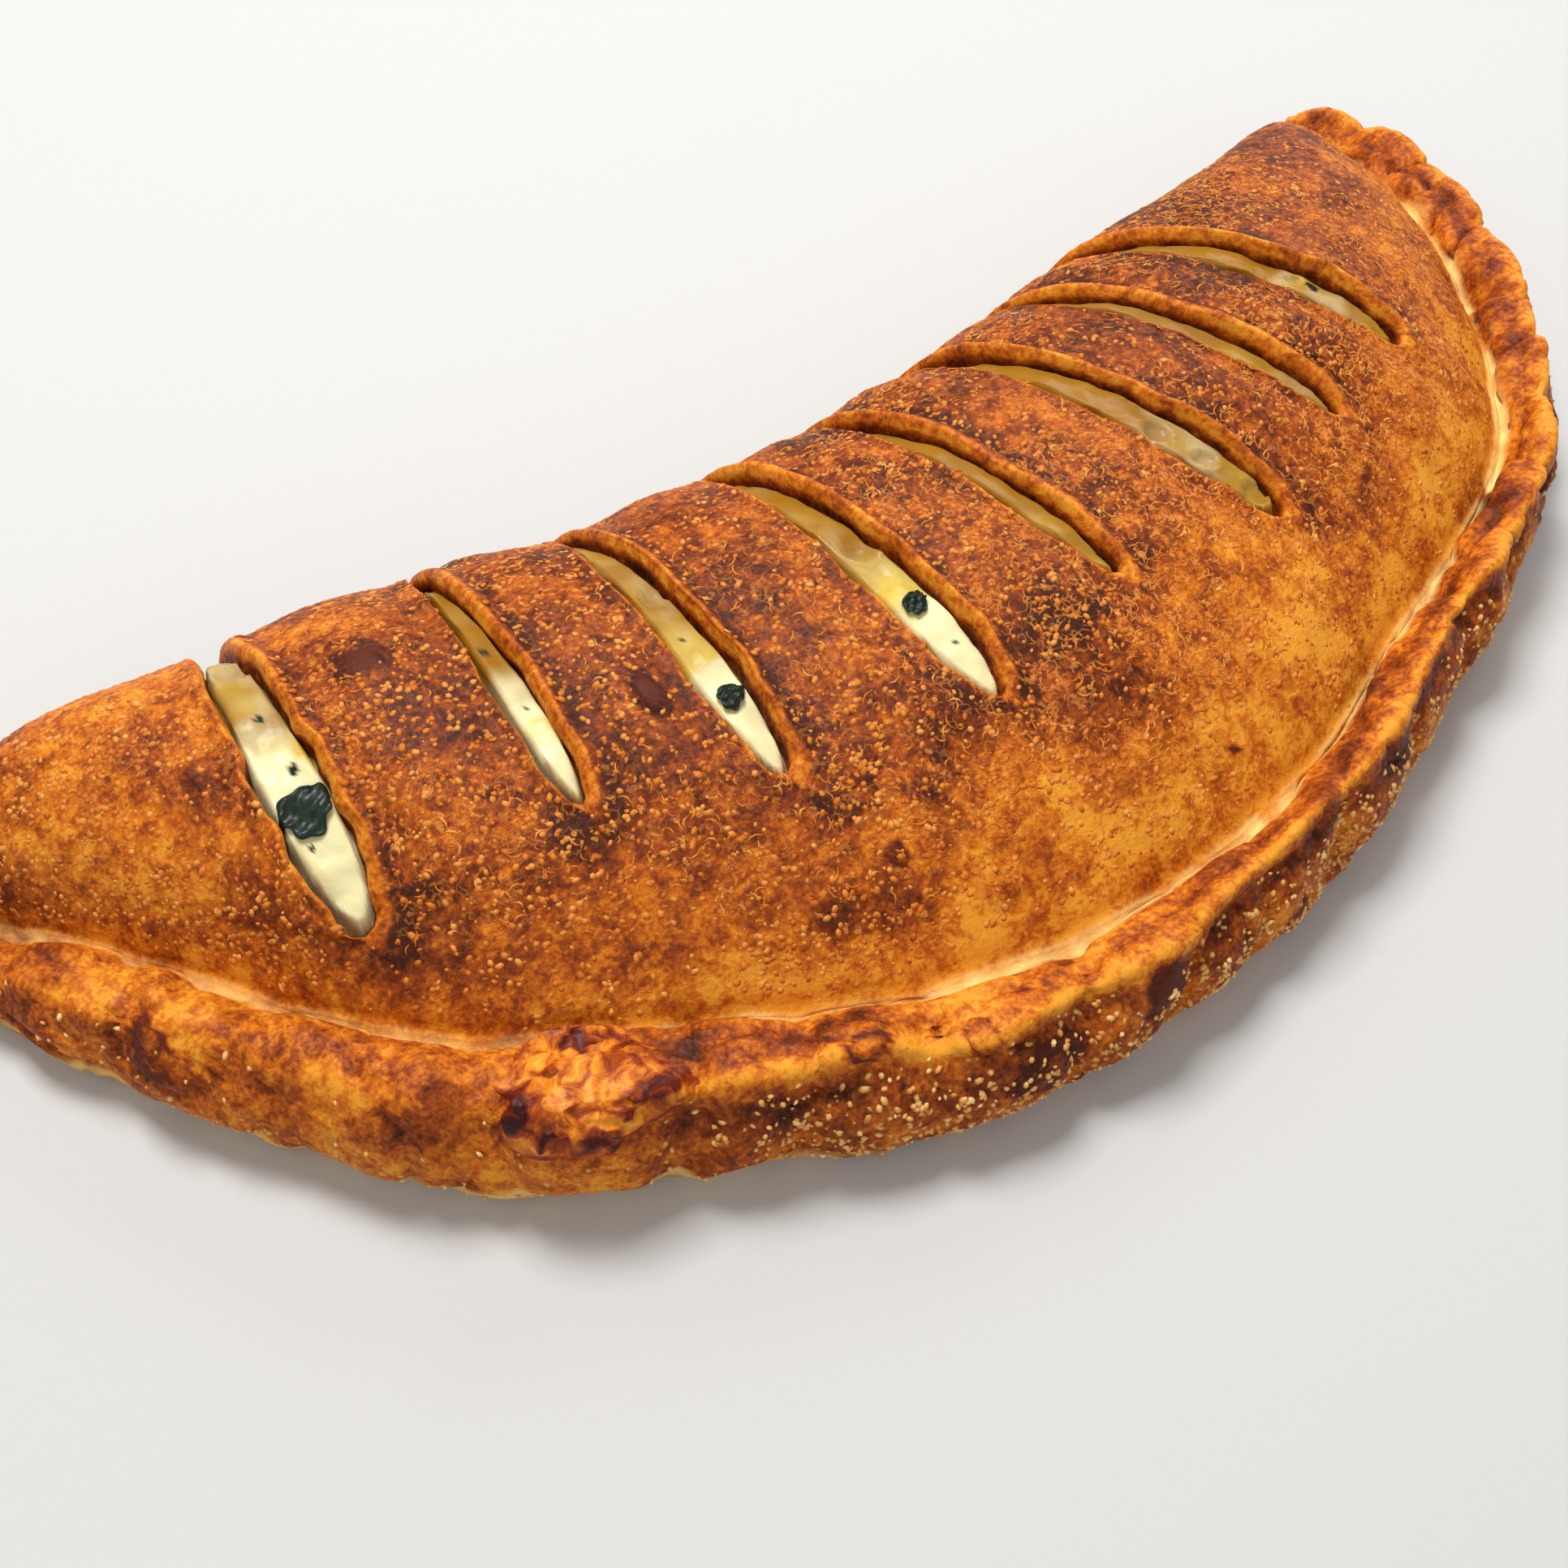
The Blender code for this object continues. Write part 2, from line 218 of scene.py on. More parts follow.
# Half width of a slit along its length, 1 at its widest: blunt at the near end, long and thin at the far one
def slitLens(share):
    share = np.clip(share, 0, 1)
    even = np.sin(pi * share) ** 0.6
    blunt = share ** 0.35 * (1 - share) ** 0.75 / 0.503
    return 0.35 * even + 0.65 * blunt


# For points near a slit: the slit's half width beside them, their signed distance past its middle line,
# the side vector, and whether they are within its reach
def besideSlit(points, t, across, slit):
    place, near, far, width, rise = slit
    full = np.full_like(t, place)
    side = sideVector(full)
    distance = ((points - placePoints(full, *domeSection(full, across))) * side).sum(axis=-1)
    half = 0.5 * width * mm * slitLens((across - near) / (far - near))
    return half, distance, side, np.abs(t - place) < form["slitReach"]


# Opens the slits like buttonholes: near a slit each point slides sideways by half the opening,
# fading with distance, and the right lip curls up. whichSide is -1 or 1 for points on a cut itself.
def openSlits(points, t, across, whichSide, widthScale, lipScale):
    moved = points.copy()
    for slit in slits:
        place, near, far, width, rise = slit
        half, distance, side, within = besideSlit(points, t, across, slit)
        sign = np.where(np.abs(t - place) < 1e-6, whichSide, np.sign(t - place))
        fade = np.exp(-np.abs(distance) / form["slitFade"]) * within
        wobble = 1 + 0.08 * np.sin(across * 41 + place * 3) + 0.05 * np.sin(across * 83 + place * 7)
        moved = moved + side * (sign * half * widthScale * fade * wobble)[..., None]
        reach = np.abs(distance) / mm
        soft = np.sin(pi * np.clip((across - near + 0.05) / (far - near + 0.1), 0, 1)) ** 0.7
        lift = np.where(sign > 0, rise * bell(reach, 1.3, 2.3),
                        0.5 * bell(reach, 1.2, 1.8) - 0.5 * bell(reach, 6, 4))
        edge = np.exp(-reach / 0.55) * 0.7
        moved[..., 2] = moved[..., 2] + lipScale * mm * soft * within * (lift - edge)
    return moved


# Rounds the two ends off: sections near an end shrink towards their middle as a quarter circle
def roundEnds(rings, t):
    e = np.clip(np.minimum(t, lastStation - t) / form["roundEnd"], 0, 1)
    keep = np.sqrt(1 - (1 - e) ** 2) * 0.9 + 0.1
    centre = rings.mean(axis=1, keepdims=True)
    return centre + (rings - centre) * keep[:, None, None]


# Four-sided cells between each closed ring of point numbers and the next
def ringCells(ids, nextIds):
    up = np.roll(np.arange(ids.shape[1]), -1)
    return np.stack([ids[:-1], ids[:-1][:, up], nextIds[1:][:, up], nextIds[1:]], axis=-1).reshape(-1, 4)


# A fan of triangles, written as cells with a double corner, from a middle point to a ring
def fanCells(middleId, ring, flip):
    nextRing = np.roll(ring, -1)
    one, two = (nextRing, ring) if flip else (ring, nextRing)
    return np.stack([np.full(len(ring), middleId), one, two, two], axis=-1)


# Makes a mesh object from points and faces, turned outward if its signed volume comes out negative
def makePiece(name, verts, faces, material):
    fourSided = faces.shape[1] == 4
    tris = np.concatenate([faces[:, [0, 1, 2]], faces[:, [0, 2, 3]]]) if fourSided else faces
    a, b, c = verts[tris[:, 0]], verts[tris[:, 1]], verts[tris[:, 2]]
    if (np.cross(a, b) * c).sum() < 0:
        faces = faces[:, ::-1]
    corners = faces.tolist()
    if fourSided:
        double = (faces == np.roll(faces, -1, axis=1)).any(axis=1)
        corners = faces[~double].tolist() + [list(dict.fromkeys(face)) for face in faces[double].tolist()]
    mesh = bpy.data.meshes.new(name)
    mesh.from_pydata(verts.tolist(), [], corners)
    mesh.update()
    mesh.polygons.foreach_set("use_smooth", np.ones(len(mesh.polygons), bool))
    mesh.materials.append(material)
    piece = bpy.data.objects.new(name, mesh)
    bpy.context.scene.collection.objects.link(piece)
    return piece


def storeFloat(piece, name, values):
    layer = piece.data.attributes.new(name, "FLOAT", "POINT")
    layer.data.foreach_set("value", np.ascontiguousarray(values, dtype=np.float32))


# Gives each named input of a node a value, or a link from another node's output
def feed(tree, node, inputs):
    for name, value in inputs.items():
        if isinstance(value, bpy.types.NodeSocket):
            tree.links.new(value, node.inputs[name])
        else:
            node.inputs[name].default_value = value


def addNode(tree, kind, inputs, **settings):
    node = tree.nodes.new("ShaderNode" + kind)
    for name, value in settings.items():
        setattr(node, name, value)
    feed(tree, node, inputs)
    return node


def newMaterial(name, roughness, specular):
    mat = bpy.data.materials.new(name)
    mat.use_nodes = True
    shader = mat.node_tree.nodes["Principled BSDF"]
    feed(mat.node_tree, shader, {"Roughness": roughness, "Specular IOR Level": specular})
    return mat, mat.node_tree, shader


# Display colours are given as the eye reads them, 0-255, and turned to linear light
def light(color):
    return tuple(((v / 255 + 0.055) / 1.055) ** 2.4 if v > 10 else v / 255 / 12.92 for v in color) + (1,)


def rampNode(tree, stops, factor):
    node = addNode(tree, "ValToRGB", {"Fac": factor})
    while len(node.color_ramp.elements) < len(stops):
        node.color_ramp.elements.new(0.5)
    for element, (place, color) in zip(node.color_ramp.elements, stops):
        element.position = place
        element.color = light(color)
    return node.outputs["Color"]


def objectCoords(tree):
    return addNode(tree, "TexCoord", {}).outputs["Object"]


def noiseNode(tree, scale, detail=4.0, rough=0.55, distortion=0.0):
    node = addNode(tree, "TexNoise", {"Vector": objectCoords(tree), "Scale": scale, "Detail": detail,
                                      "Roughness": rough, "Distortion": distortion})
    return node.outputs["Fac"]


# Object coordinates pushed about by a noise, so that a regular pattern wanders
def wanderingCoords(tree, scale, amount):
    coords = objectCoords(tree)
    noise = addNode(tree, "TexNoise", {"Vector": coords, "Scale": scale, "Detail": 2.0})
    shift = addNode(tree, "VectorMath", {0: noise.outputs["Color"], 1: (amount, amount, amount), 2: coords},
                    operation="MULTIPLY_ADD")
    return shift.outputs["Vector"]


# Random cells: distance to the cell's middle, or to its edge, and a colour of its own for each cell
def cellNode(tree, scale, vector, feature="F1"):
    return addNode(tree, "TexVoronoi", {"Vector": vector, "Scale": scale}, feature=feature).outputs


def attributeNode(tree, name):
    return addNode(tree, "Attribute", {}, attribute_name=name).outputs["Fac"]


def mathNode(tree, operation, *values, clamp=False):
    inputs = dict(enumerate(values))
    return addNode(tree, "Math", inputs, operation=operation, use_clamp=clamp).outputs["Value"]


def rangeNode(tree, value, fromLow, fromHigh, toLow=0.0, toHigh=1.0):
    node = addNode(tree, "MapRange", {"Value": value, "From Min": fromLow, "From Max": fromHigh,
                                      "To Min": toLow, "To Max": toHigh})
    return node.outputs["Result"]


def mixColor(tree, factor, a, b):
    return addNode(tree, "Mix", {0: factor, 6: a, 7: light(b)}, data_type="RGBA").outputs[2]


def bumpNode(tree, height, strength, distance, under=None):
    inputs = {"Strength": strength, "Distance": distance, "Height": height}
    if under is not None:
        inputs["Normal"] = under
    return addNode(tree, "Bump", inputs).outputs["Normal"]


# The formula that the small things share: a noise runs up a ramp of tones, and may raise the surface
def mottledMaterial(name, look):
    mat, tree, shader = newMaterial(name, look["roughness"], look["specular"])
    shade = noiseNode(tree, look["scale"], look["detail"])
    feed(tree, shader, {"Base Color": rampNode(tree, look["tones"], shade)})
    if look["bump"] > 0:
        feed(tree, shader, {"Normal": bumpNode(tree, shade, look["bump"], 0.6 * mm)})
    return mat


# The dough: how finely it is divided, its relief and its tones
crust = {
    "perStation": 30,       # columns between two stations
    "ropeRows": 50, "seamRows": 8, "riseRows": 62, "fallRows": 30, "baseRows": 7,
    "seamEdge": 0.032,      # place across the dome where the fine rows by the seam end
    "wallRows": 6,          # rows down a slit's wall
    "swell": 1.1 * mm, "ripple": 0.42 * mm, "grit": 0.13 * mm, "puff": 1.3 * mm,
    "inset": 0.5 * mm,      # how far it stays inside the solids' box
    "tones": [(0.0, (218, 144, 42)), (0.27, (192, 102, 22)), (0.52, (146, 66, 18)), (0.76, (104, 43, 15)),
              (1.0, (64, 27, 13))],
    "speck": (206, 128, 54), "cream": (246, 208, 128), "burnt": (88, 34, 18), "char": (36, 16, 11),
}
crustFieldNames = ("browningAndShade", "pale", "scorch", "specks", "trails")


# Browning runs up a ramp: the stored field, which also holds painted shade on the rope and down the slit
# walls, plus three noises, broad, mottled and fine. Light dots sit in random cells and light trails along the
# edges of wandering cells, both where the stored fields allow.
# Then come the cream of the seam, the pale of the rope's bottom edge (flour with painted light) and, over
# all, burnt and charred patches.
def crustMaterial():
    mat, tree, shader = newMaterial("bakedCrust", 0.5, 0.1)
    broad = noiseNode(tree, 85.0, 4.0, 0.6, 0.3)
    mottle = noiseNode(tree, 270.0, 5.0, 0.62, 0.4)
    fine = noiseNode(tree, 900.0, 3.0, 0.6)
    level = attributeNode(tree, "browningAndShade")
    for noise, spread, amount in ((broad, 0.15, 0.14), (mottle, 0.14, 0.20), (fine, 0.14, 0.13)):
        shift = rangeNode(tree, noise, 0.5 - spread, 0.5 + spread, -amount, amount)
        level = mathNode(tree, "ADD", level, shift)
    scorch = attributeNode(tree, "scorch")
    level = mathNode(tree, "MULTIPLY_ADD", scorch, 0.8, level, clamp=True)
    dots = cellNode(tree, 400.0, wanderingCoords(tree, 500.0, 0.003))
    chance = addNode(tree, "SeparateColor", {"Color": dots["Color"]}).outputs["Red"]
    dotMask = mathNode(tree, "MULTIPLY", rangeNode(tree, dots["Distance"], 0.30, 0.18),
                       rangeNode(tree, chance, 0.30, 0.40))
    dotMask = mathNode(tree, "MULTIPLY", dotMask, attributeNode(tree, "specks"))
    edges = cellNode(tree, 330.0, wanderingCoords(tree, 260.0, 0.008), "DISTANCE_TO_EDGE")["Distance"]
    trailMask = mathNode(tree, "MULTIPLY", rangeNode(tree, edges, 0.10, 0.05),
                         rangeNode(tree, noiseNode(tree, 420.0, 2.0), 0.46, 0.54))
    trailMask = mathNode(tree, "MULTIPLY", trailMask, attributeNode(tree, "trails"))
    raised = mathNode(tree, "MAXIMUM", dotMask, trailMask)
    color = rampNode(tree, crust["tones"], level)
    color = mixColor(tree, mathNode(tree, "MULTIPLY", raised, 0.75), color, crust["speck"])
    color = mixColor(tree, attributeNode(tree, "pale"), color, crust["cream"])
    color = mixColor(tree, rangeNode(tree, scorch, 0.42, 0.6, 0.0, 0.8), color, crust["burnt"])
    color = mixColor(tree, rangeNode(tree, scorch, 0.72, 0.9, 0.0, 0.8), color, crust["char"])
    bump = bumpNode(tree, fine, 0.3, 0.6 * mm)
    bump = bumpNode(tree, mottle, 0.4, 1.2 * mm, bump)
    bump = bumpNode(tree, raised, 0.5, 0.5 * mm, bump)
    feed(tree, shader, {"Base Color": color, "Roughness": rangeNode(tree, fine, 0.3, 0.7, 0.38, 0.6),
                        "Normal": bump})
    return mat


def columnPlaces():
    places = np.linspace(0, lastStation, crust["perStation"] * lastStation + 1)
    extra = []
    for slit in slits:
        places = places[np.abs(places - slit[0]) > 0.017]
        extra += [slit[0] + d for d in (-0.045, -0.022, -0.009, 0.0, 0.009, 0.022, 0.045)]
    places = places[np.min(np.abs(places[:, None] - np.array(extra)[None, :]), axis=1) > 0.008]
    return np.sort(np.concatenate([places, extra]))


def acrossPlaces():
    marks = ((0, crust["seamEdge"], "seamRows"), (crust["seamEdge"], form["crest"], "riseRows"),
             (form["crest"], 1, "fallRows"))
    return np.concatenate([np.linspace(low, high, crust[rows] + 1)[1:] for low, high, rows in marks])


tPlaces = columnPlaces()
acrossList = acrossPlaces()
ropeCount = crust["ropeRows"] + 1
domeCount = len(acrossList)

# Blisters and burnt or golden patches: station, place across, half sizes along and across (mm),
# height (mm), and how dark (over 0) or golden (under 0)
domeSpots = [
    (2.48, 0.64, 7.0, 5.0, 1.0, 0.95), (3.57, 0.51, 4.2, 5.6, 1.0, 0.95), (4.10, 0.22, 2.0, 2.7, 0.7, 0.8),
    (4.43, 0.13, 4.6, 4.6, 0.9, 0.0), (4.72, 0.37, 15.0, 9.0, 0.3, 0.52), (2.95, 0.35, 12.0, 8.0, 0.2, 0.34),
    (2.80, 0.41, 6.0, 5.0, 0.2, 0.30), (5.42, 0.41, 11.0, 7.0, 0.2, 0.44), (3.28, 0.77, 6.0, 4.0, 1.0, 0.55),
    (7.14, 0.64, 3.2, 1.7, 0.4, 0.8), (5.71, 0.12, 1.5, 1.6, 0.4, 0.85), (2.12, 0.23, 6.0, 9.0, 0.1, 0.30),
    (5.20, 0.30, 9.0, 7.0, 0.1, 0.30), (3.83, 0.17, 14.0, 8.0, 0.2, 0.24), (3.11, 0.13, 9.0, 6.0, 0.1, 0.16),
    (8.30, 0.44, 12.0, 8.0, 0.1, 0.2), (6.30, 0.62, 10.0, 9.0, 0.1, 0.16), (10.3, 0.42, 12.0, 9.0, 0.1, 0.18),
    (4.89, 0.18, 17.0, 11.0, 0.2, -0.30), (6.44, 0.15, 22.0, 15.0, 0.2, -0.36),
    (3.37, 0.07, 12.0, 8.0, 0.1, -0.24), (8.20, 0.14, 22.0, 14.0, 0.2, -0.30),
    (1.20, 0.40, 16.0, 16.0, 0.1, -0.14), (5.6, 0.20, 12.0, 10.0, 0.1, -0.2),
    (2.48, 0.64, 13.0, 10.0, 0.0, -0.24), (3.57, 0.51, 9.0, 11.0, 0.0, -0.24),
    (2.35, 0.5, 8.0, 14.0, 0.0, -0.12)]
ropeSpots = [
    (1.11, 0.51, 3.4, 8.5, 0.7, 0.78), (1.75, 0.67, 6.0, 4.0, 0.3, 0.45), (2.90, 0.78, 5.5, 4.0, 0.9, 0.6),
    (3.51, 0.65, 5.2, 3.0, 0.6, 0.75), (3.95, 0.59, 3.4, 5.0, 0.6, 0.62), (4.72, 0.41, 6.0, 8.0, 1.2, 0.85),
    (4.18, 0.36, 9.0, 6.5, 0.8, 0.66), (5.08, 0.51, 7.5, 4.5, -1.8, 0.42), (5.80, 0.65, 7.0, 6.5, 0.8, 0.58),
    (9.55, 0.28, 7.0, 6.0, 1.2, 0.78), (10.68, 0.42, 4.5, 7.0, 0.9, 0.82), (10.84, 0.35, 6.0, 4.0, 0.8, 0.78),
    (5.50, 0.25, 5.0, 4.0, 1.6, 0.8), (0.80, 0.75, 12.0, 7.0, 0.6, 0.36), (3.45, 0.80, 14.0, 3.5, 0.3, 0.5),
    (6.6, 0.55, 8.0, 5.0, 0.5, 0.4), (7.6, 0.6, 9.0, 6.0, 0.5, 0.42), (8.6, 0.45, 8.0, 6.0, 0.6, 0.45),
    (12.2, 0.6, 8.0, 6.0, 0.5, 0.4)]
burnLimit = 0.6           # over this a spot is a dark blister with a clear edge


# Each spot is an oval: its height falls off as a dome, its colour has a soft edge and a ragged outline
def spotField(spots, section, points):
    bump, burn, glow = (np.zeros(points.shape[:-1]) for k in range(3))
    ragged = 0.16 * softNoise(points, 3.5 * mm, 301) + 0.22 * softNoise(points, 9 * mm, 303)
    for place, across, along, over, tall, dark in spots:
        centre, side = spotOn(section, place, across)
        d = points - centre
        a = (d * side).sum(axis=-1)
        b = np.sqrt(np.maximum((d * d).sum(axis=-1) - a * a, 0))
        r = np.hypot(a / (along * mm), b / (over * mm))
        bump = bump + tall * mm * np.clip(1 - r * r, 0, 1) ** 0.6
        edge = easeStep(-(r + 0.5 * ragged), -1.08, -0.85) * (0.74 + 0.26 * bell(r, 0.85, 0.2))
        soft = edge if dark > burnLimit else bell(r + ragged, 0, 0.85)
        burn = np.maximum(burn, dark * soft)
        glow = glow + min(dark, 0) * soft
    return bump, burn, glow


# Distance (m) from the nearest slit's middle line, and whether a point is to the right of that slit
def lipField(t, across, points):
    nearest = np.full(t.shape, 1.0)
    onRight = np.zeros(t.shape)
    for slit in slits:
        distance = besideSlit(points, t, across, slit)[1]
        beyond = np.maximum(np.maximum(slit[1] - across, across - slit[2]), 0) * 0.11
        gapHere = np.hypot(np.abs(distance), beyond)
        closer = gapHere < nearest
        nearest = np.where(closer, gapHere, nearest)
        onRight = np.where(closer, (distance > 0) * 1.0, onRight)
    return nearest, onRight


# Keeps a value inside low..high, easing into the limit over the last 2 mm
def softLimit(value, low, high, ease=2.0 * mm):
    over = np.maximum(value - (high - ease), 0)
    value = np.where(over > 0, high - ease + ease * np.tanh(over / ease), value)
    under = np.maximum((low + ease) - value, 0)
    return np.where(under > 0, low + ease - ease * np.tanh(under / ease), value)


# The outer skin as rings: rope, dome, folded side and flat base, before the slits are opened
def outerRings():
    tRope, turn = np.broadcast_arrays(tPlaces[:, None], np.linspace(0, 1, ropeCount)[None, :])
    tDome, across = np.broadcast_arrays(tPlaces[:, None], acrossList[None, :])
    rope = placePoints(tRope, *ropeSection(tRope, turn))
    dome = placePoints(tDome, *domeSection(tDome, across))
    share = np.linspace(0, 1, crust["baseRows"] + 2)[1:-1][None, :, None]
    base = dome[:, -1:, :] * (1 - share) + rope[:, :1, :] * share
    return roundEnds(np.concatenate([rope, dome, base], axis=1), tPlaces)


# Outward normals of closed rings, from the differences along and round them
def ringNormals(rings):
    n = np.cross(np.gradient(rings, axis=0), np.roll(rings, -1, axis=1) - np.roll(rings, 1, axis=1))
    n /= np.maximum(np.linalg.norm(n, axis=-1, keepdims=True), 1e-12)
    return -n if ((rings - rings.mean(axis=1, keepdims=True)) * n).sum() < 0 else n


# The skin's relief and its five stored fields. Sizes are in metres; the last number of a noise is its seed.
def dressSkin(rings, t, turn, across, isRope, isDome, isBase):
    free = np.where(isBase, 0.0, 1.0) * easeStep(rings[..., 2], 0.0, 4 * mm)
    swell = cloudNoise(rings, 34 * mm, 2, 3) * crust["swell"]
    ripple = cloudNoise(rings, 11 * mm, 2, 8) * crust["ripple"]
    grit = cloudNoise(rings, 3.2 * mm, 2, 12) * crust["grit"]
    # each strip of dome between two slits is puffed up
    puff = (0.5 - 0.5 * np.cos(2 * pi * t)) * easeStep(t, 1.9, 2.3) * easeStep(-t, -9.3, -8.9)
    puff = puff * easeStep(across, 0.12, 0.40) * easeStep(-across, -0.98, -0.75)
    domeRelief = swell + ripple + grit + crust["puff"] * puff
    # the rope is crumpled: sharp valleys run where a wandering noise passes zero, at two sizes
    drift = np.stack([softNoise(rings, 15 * mm, seed) for seed in (201, 203, 205)], axis=-1)
    bent = rings + 5 * mm * drift
    fold = np.clip(1 - np.abs(softNoise(bent, 17 * mm, 31)) / 0.22, 0, 1)
    smallFold = np.clip(1 - np.abs(softNoise(bent, 7.5 * mm, 37)) / 0.25, 0, 1)
    lumps = softNoise(bent, 13 * mm, 43)
    ropeRelief = 0.8 * swell + mm * (1.5 * lumps - 1.7 * fold ** 1.5 - 0.7 * smallFold ** 1.5) + 1.6 * grit
    # a raised edge along the rope, where the upper flap was rolled over, a step under it and a trough behind
    along = np.stack([t * 34 * mm, turn * 0, turn * 0], axis=-1)
    edgeAt = 0.61 + 0.05 * softNoise(along, 38 * mm, 35) + 0.03 * softNoise(along, 12 * mm, 36)
    rolled = easeStep(t, 2.4, 3.0)
    flap = bell(turn, edgeAt, 0.05) * (0.35 + 0.65 * rolled)
    step = bell(turn, edgeAt - 0.13, 0.07) * (0.35 + 0.65 * rolled)
    trough = bell(turn, edgeAt + 0.18, 0.08) * rolled
    ropeRelief = ropeRelief + mm * (1.3 * flap - 0.9 * step - 1.0 * trough)
    # the seam: a thin raised lip on the dome's side, and a ragged groove on the rope's
    seamAway = np.where(isBase, 1.0, np.where(isRope, (1 - turn) * 55 * mm, across * 120 * mm))
    lipHere = 0.75 + 0.45 * softNoise(along, 9 * mm, 207)
    domeRelief = domeRelief + 0.5 * mm * lipHere * bell(seamAway, 0.5 * mm, 0.6 * mm)
    domeRelief = domeRelief - 0.3 * mm * bell(seamAway, 3.0 * mm, 1.6 * mm)
    ropeRelief = ropeRelief - 1.0 * mm * lipHere * bell(seamAway, 2.0 * mm, 1.4 * mm)
    domeBump, domeBurn, domeGlow = spotField(domeSpots, domeSection, rings)
    ropeBump, ropeBurn = spotField(ropeSpots, ropeSection, rings)[:2]
    relief = np.where(isDome, domeRelief + domeBump, np.where(isRope, ropeRelief + ropeBump, 0))
    shape = rings + ringNormals(rings) * (relief * free)[..., None]
    shape[..., 2] = np.where(isBase, 0.0, np.maximum(shape[..., 2], 0.0))

    # browning and painted shade: 0 golden, 0.5 russet, 1 nearly black
    cloud = cloudNoise(rings, 36 * mm, 3, 41)
    patch = cloudNoise(rings, 11 * mm, 3, 47)
    lip, onRight = lipField(t, across, rings)
    halo = np.where(t > 4.2, 18.0, 10.0) * mm
    domeTone = 0.51 + 0.32 * cloud + 0.28 * patch
    domeTone = domeTone - 0.07 * easeStep(t, 2.6, 4.0) * easeStep(-across, -0.4, -0.2)
    domeTone = domeTone + 0.17 * easeStep(across, 0.22, 0.6) * easeStep(t, 1.5, 2.2)
    domeTone = domeTone - (0.26 + 0.12 * easeStep(t, 5.0, 6.5)) * bell(seamAway, 0, halo) + domeGlow
    domeTone = domeTone + np.where(domeBurn < burnLimit, domeBurn, 0)
    # a slit's lips are smooth and lighter, wide on the raised right side and thin on the left
    band = np.where(onRight > 0, 2.5 * mm, 1.0 * mm)
    lipMask = isDome * easeStep(-lip, -band * 1.3, -band * 0.75)
    domeTone = domeTone * (1 - 0.85 * lipMask) + 0.24 * lipMask * 0.85
    domeTone = domeTone + 0.24 * bell(lip, 5.2 * mm, 2.2 * mm) * onRight
    # on the rope the raised parts stay golden and the hollows go dark, most of all the band under the flap:
    # painted shade in the creases, the trough and under the flap, and painted highlight on the raised flap
    ropeTone = 0.34 + (0.24 * cloud + 0.24 * patch + 0.12 * lumps) * (1 - 0.35 * easeStep(t, 7.5, 9.0))
    ropeTone = ropeTone + 0.28 * fold * softNoise(bent, 22 * mm, 39) + 0.14 * fold
    ropeTone = ropeTone - 0.34 * flap + 0.26 * step + 0.20 * trough
    # painted shade darkens the rope's lower band a little; the very bottom corner is made lighter
    under = easeStep(-turn, -0.46, -0.36) * easeStep(turn, 0.04, 0.14)
    ropeTone = ropeTone + 0.05 * under * (0.4 + 0.6 * rolled) - 0.20 * easeStep(-turn, -0.10, -0.02)
    ropeTone = ropeTone + 0.6 * np.where(ropeBurn < burnLimit, ropeBurn, 0)
    browningAndShade = np.where(isRope, ropeTone, np.where(isDome, domeTone, 0.62 + 0.2 * patch))
    # cream dough shows in a broken line along the seam; low on the left part of the rope a pale band is flour
    # and painted light, the bottom edge catching light
    ragged = cloudNoise(rings, 7 * mm, 2, 53)
    lineWidth = (0.95 + 0.5 * ragged + (1.4 + 3.0 * ragged) * easeStep(t, 8.3, 9.4)) * mm
    pale = bell(seamAway, 0.2 * mm, np.maximum(lineWidth, 0.35 * mm)) * easeStep(ragged, -0.9, -0.1) * ~isBase
    pale = pale * (0.85 + 0.45 * softNoise(rings, 3 * mm, 57)) * (0.45 + 0.55 * easeStep(t, 2.6, 3.2))
    # flour and painted light: a pale band low on the left part of the rope
    lowEdgeFlourAndLight = easeStep(-rings[..., 2], -8.0 * mm, -4.5 * mm) * isRope * easeStep(ragged, -0.7, 0.3)
    pale = np.clip(np.maximum(pale, 0.75 * lowEdgeFlourAndLight * easeStep(-t, -3.7, -3.2)), 0, 1)
    # dark blisters, and short cracks along the seam
    scorch = np.where(isDome & (domeBurn > burnLimit), domeBurn, 0) * (1 - lipMask)
    scorch = np.maximum(scorch, np.where(isRope & (ropeBurn > burnLimit), ropeBurn, 0))
    crack = easeStep(softNoise(rings, 3.6 * mm, 59), 0.25, 0.5) * bell(seamAway, 2 * mm, 0.9 * mm)
    scorch = np.maximum(scorch, 0.75 * crack * isRope)
    # where tiny blisters and bent ridges may lie
    clear = (1 - lipMask) * (1 - easeStep(scorch, 0.3, 0.5)) * (1 - bell(seamAway, 0, 7 * mm))
    specks = easeStep(cloudNoise(rings, 26 * mm, 2, 71), -0.7, 0.1) * np.where(isDome, 1.0, 0.3) * clear
    specks = specks * (1 - 0.5 * easeStep(t, 5.4, 7.0))
    trails = easeStep(cloudNoise(rings, 22 * mm, 2, 73), -0.5, 0.2) * isDome * clear
    trails = trails * easeStep(across, 0.10, 0.28) * (0.40 + 0.60 * easeStep(t, 4.4, 6.0))
    return shape, np.stack([browningAndShade, pale, scorch, specks, trails], axis=-1)


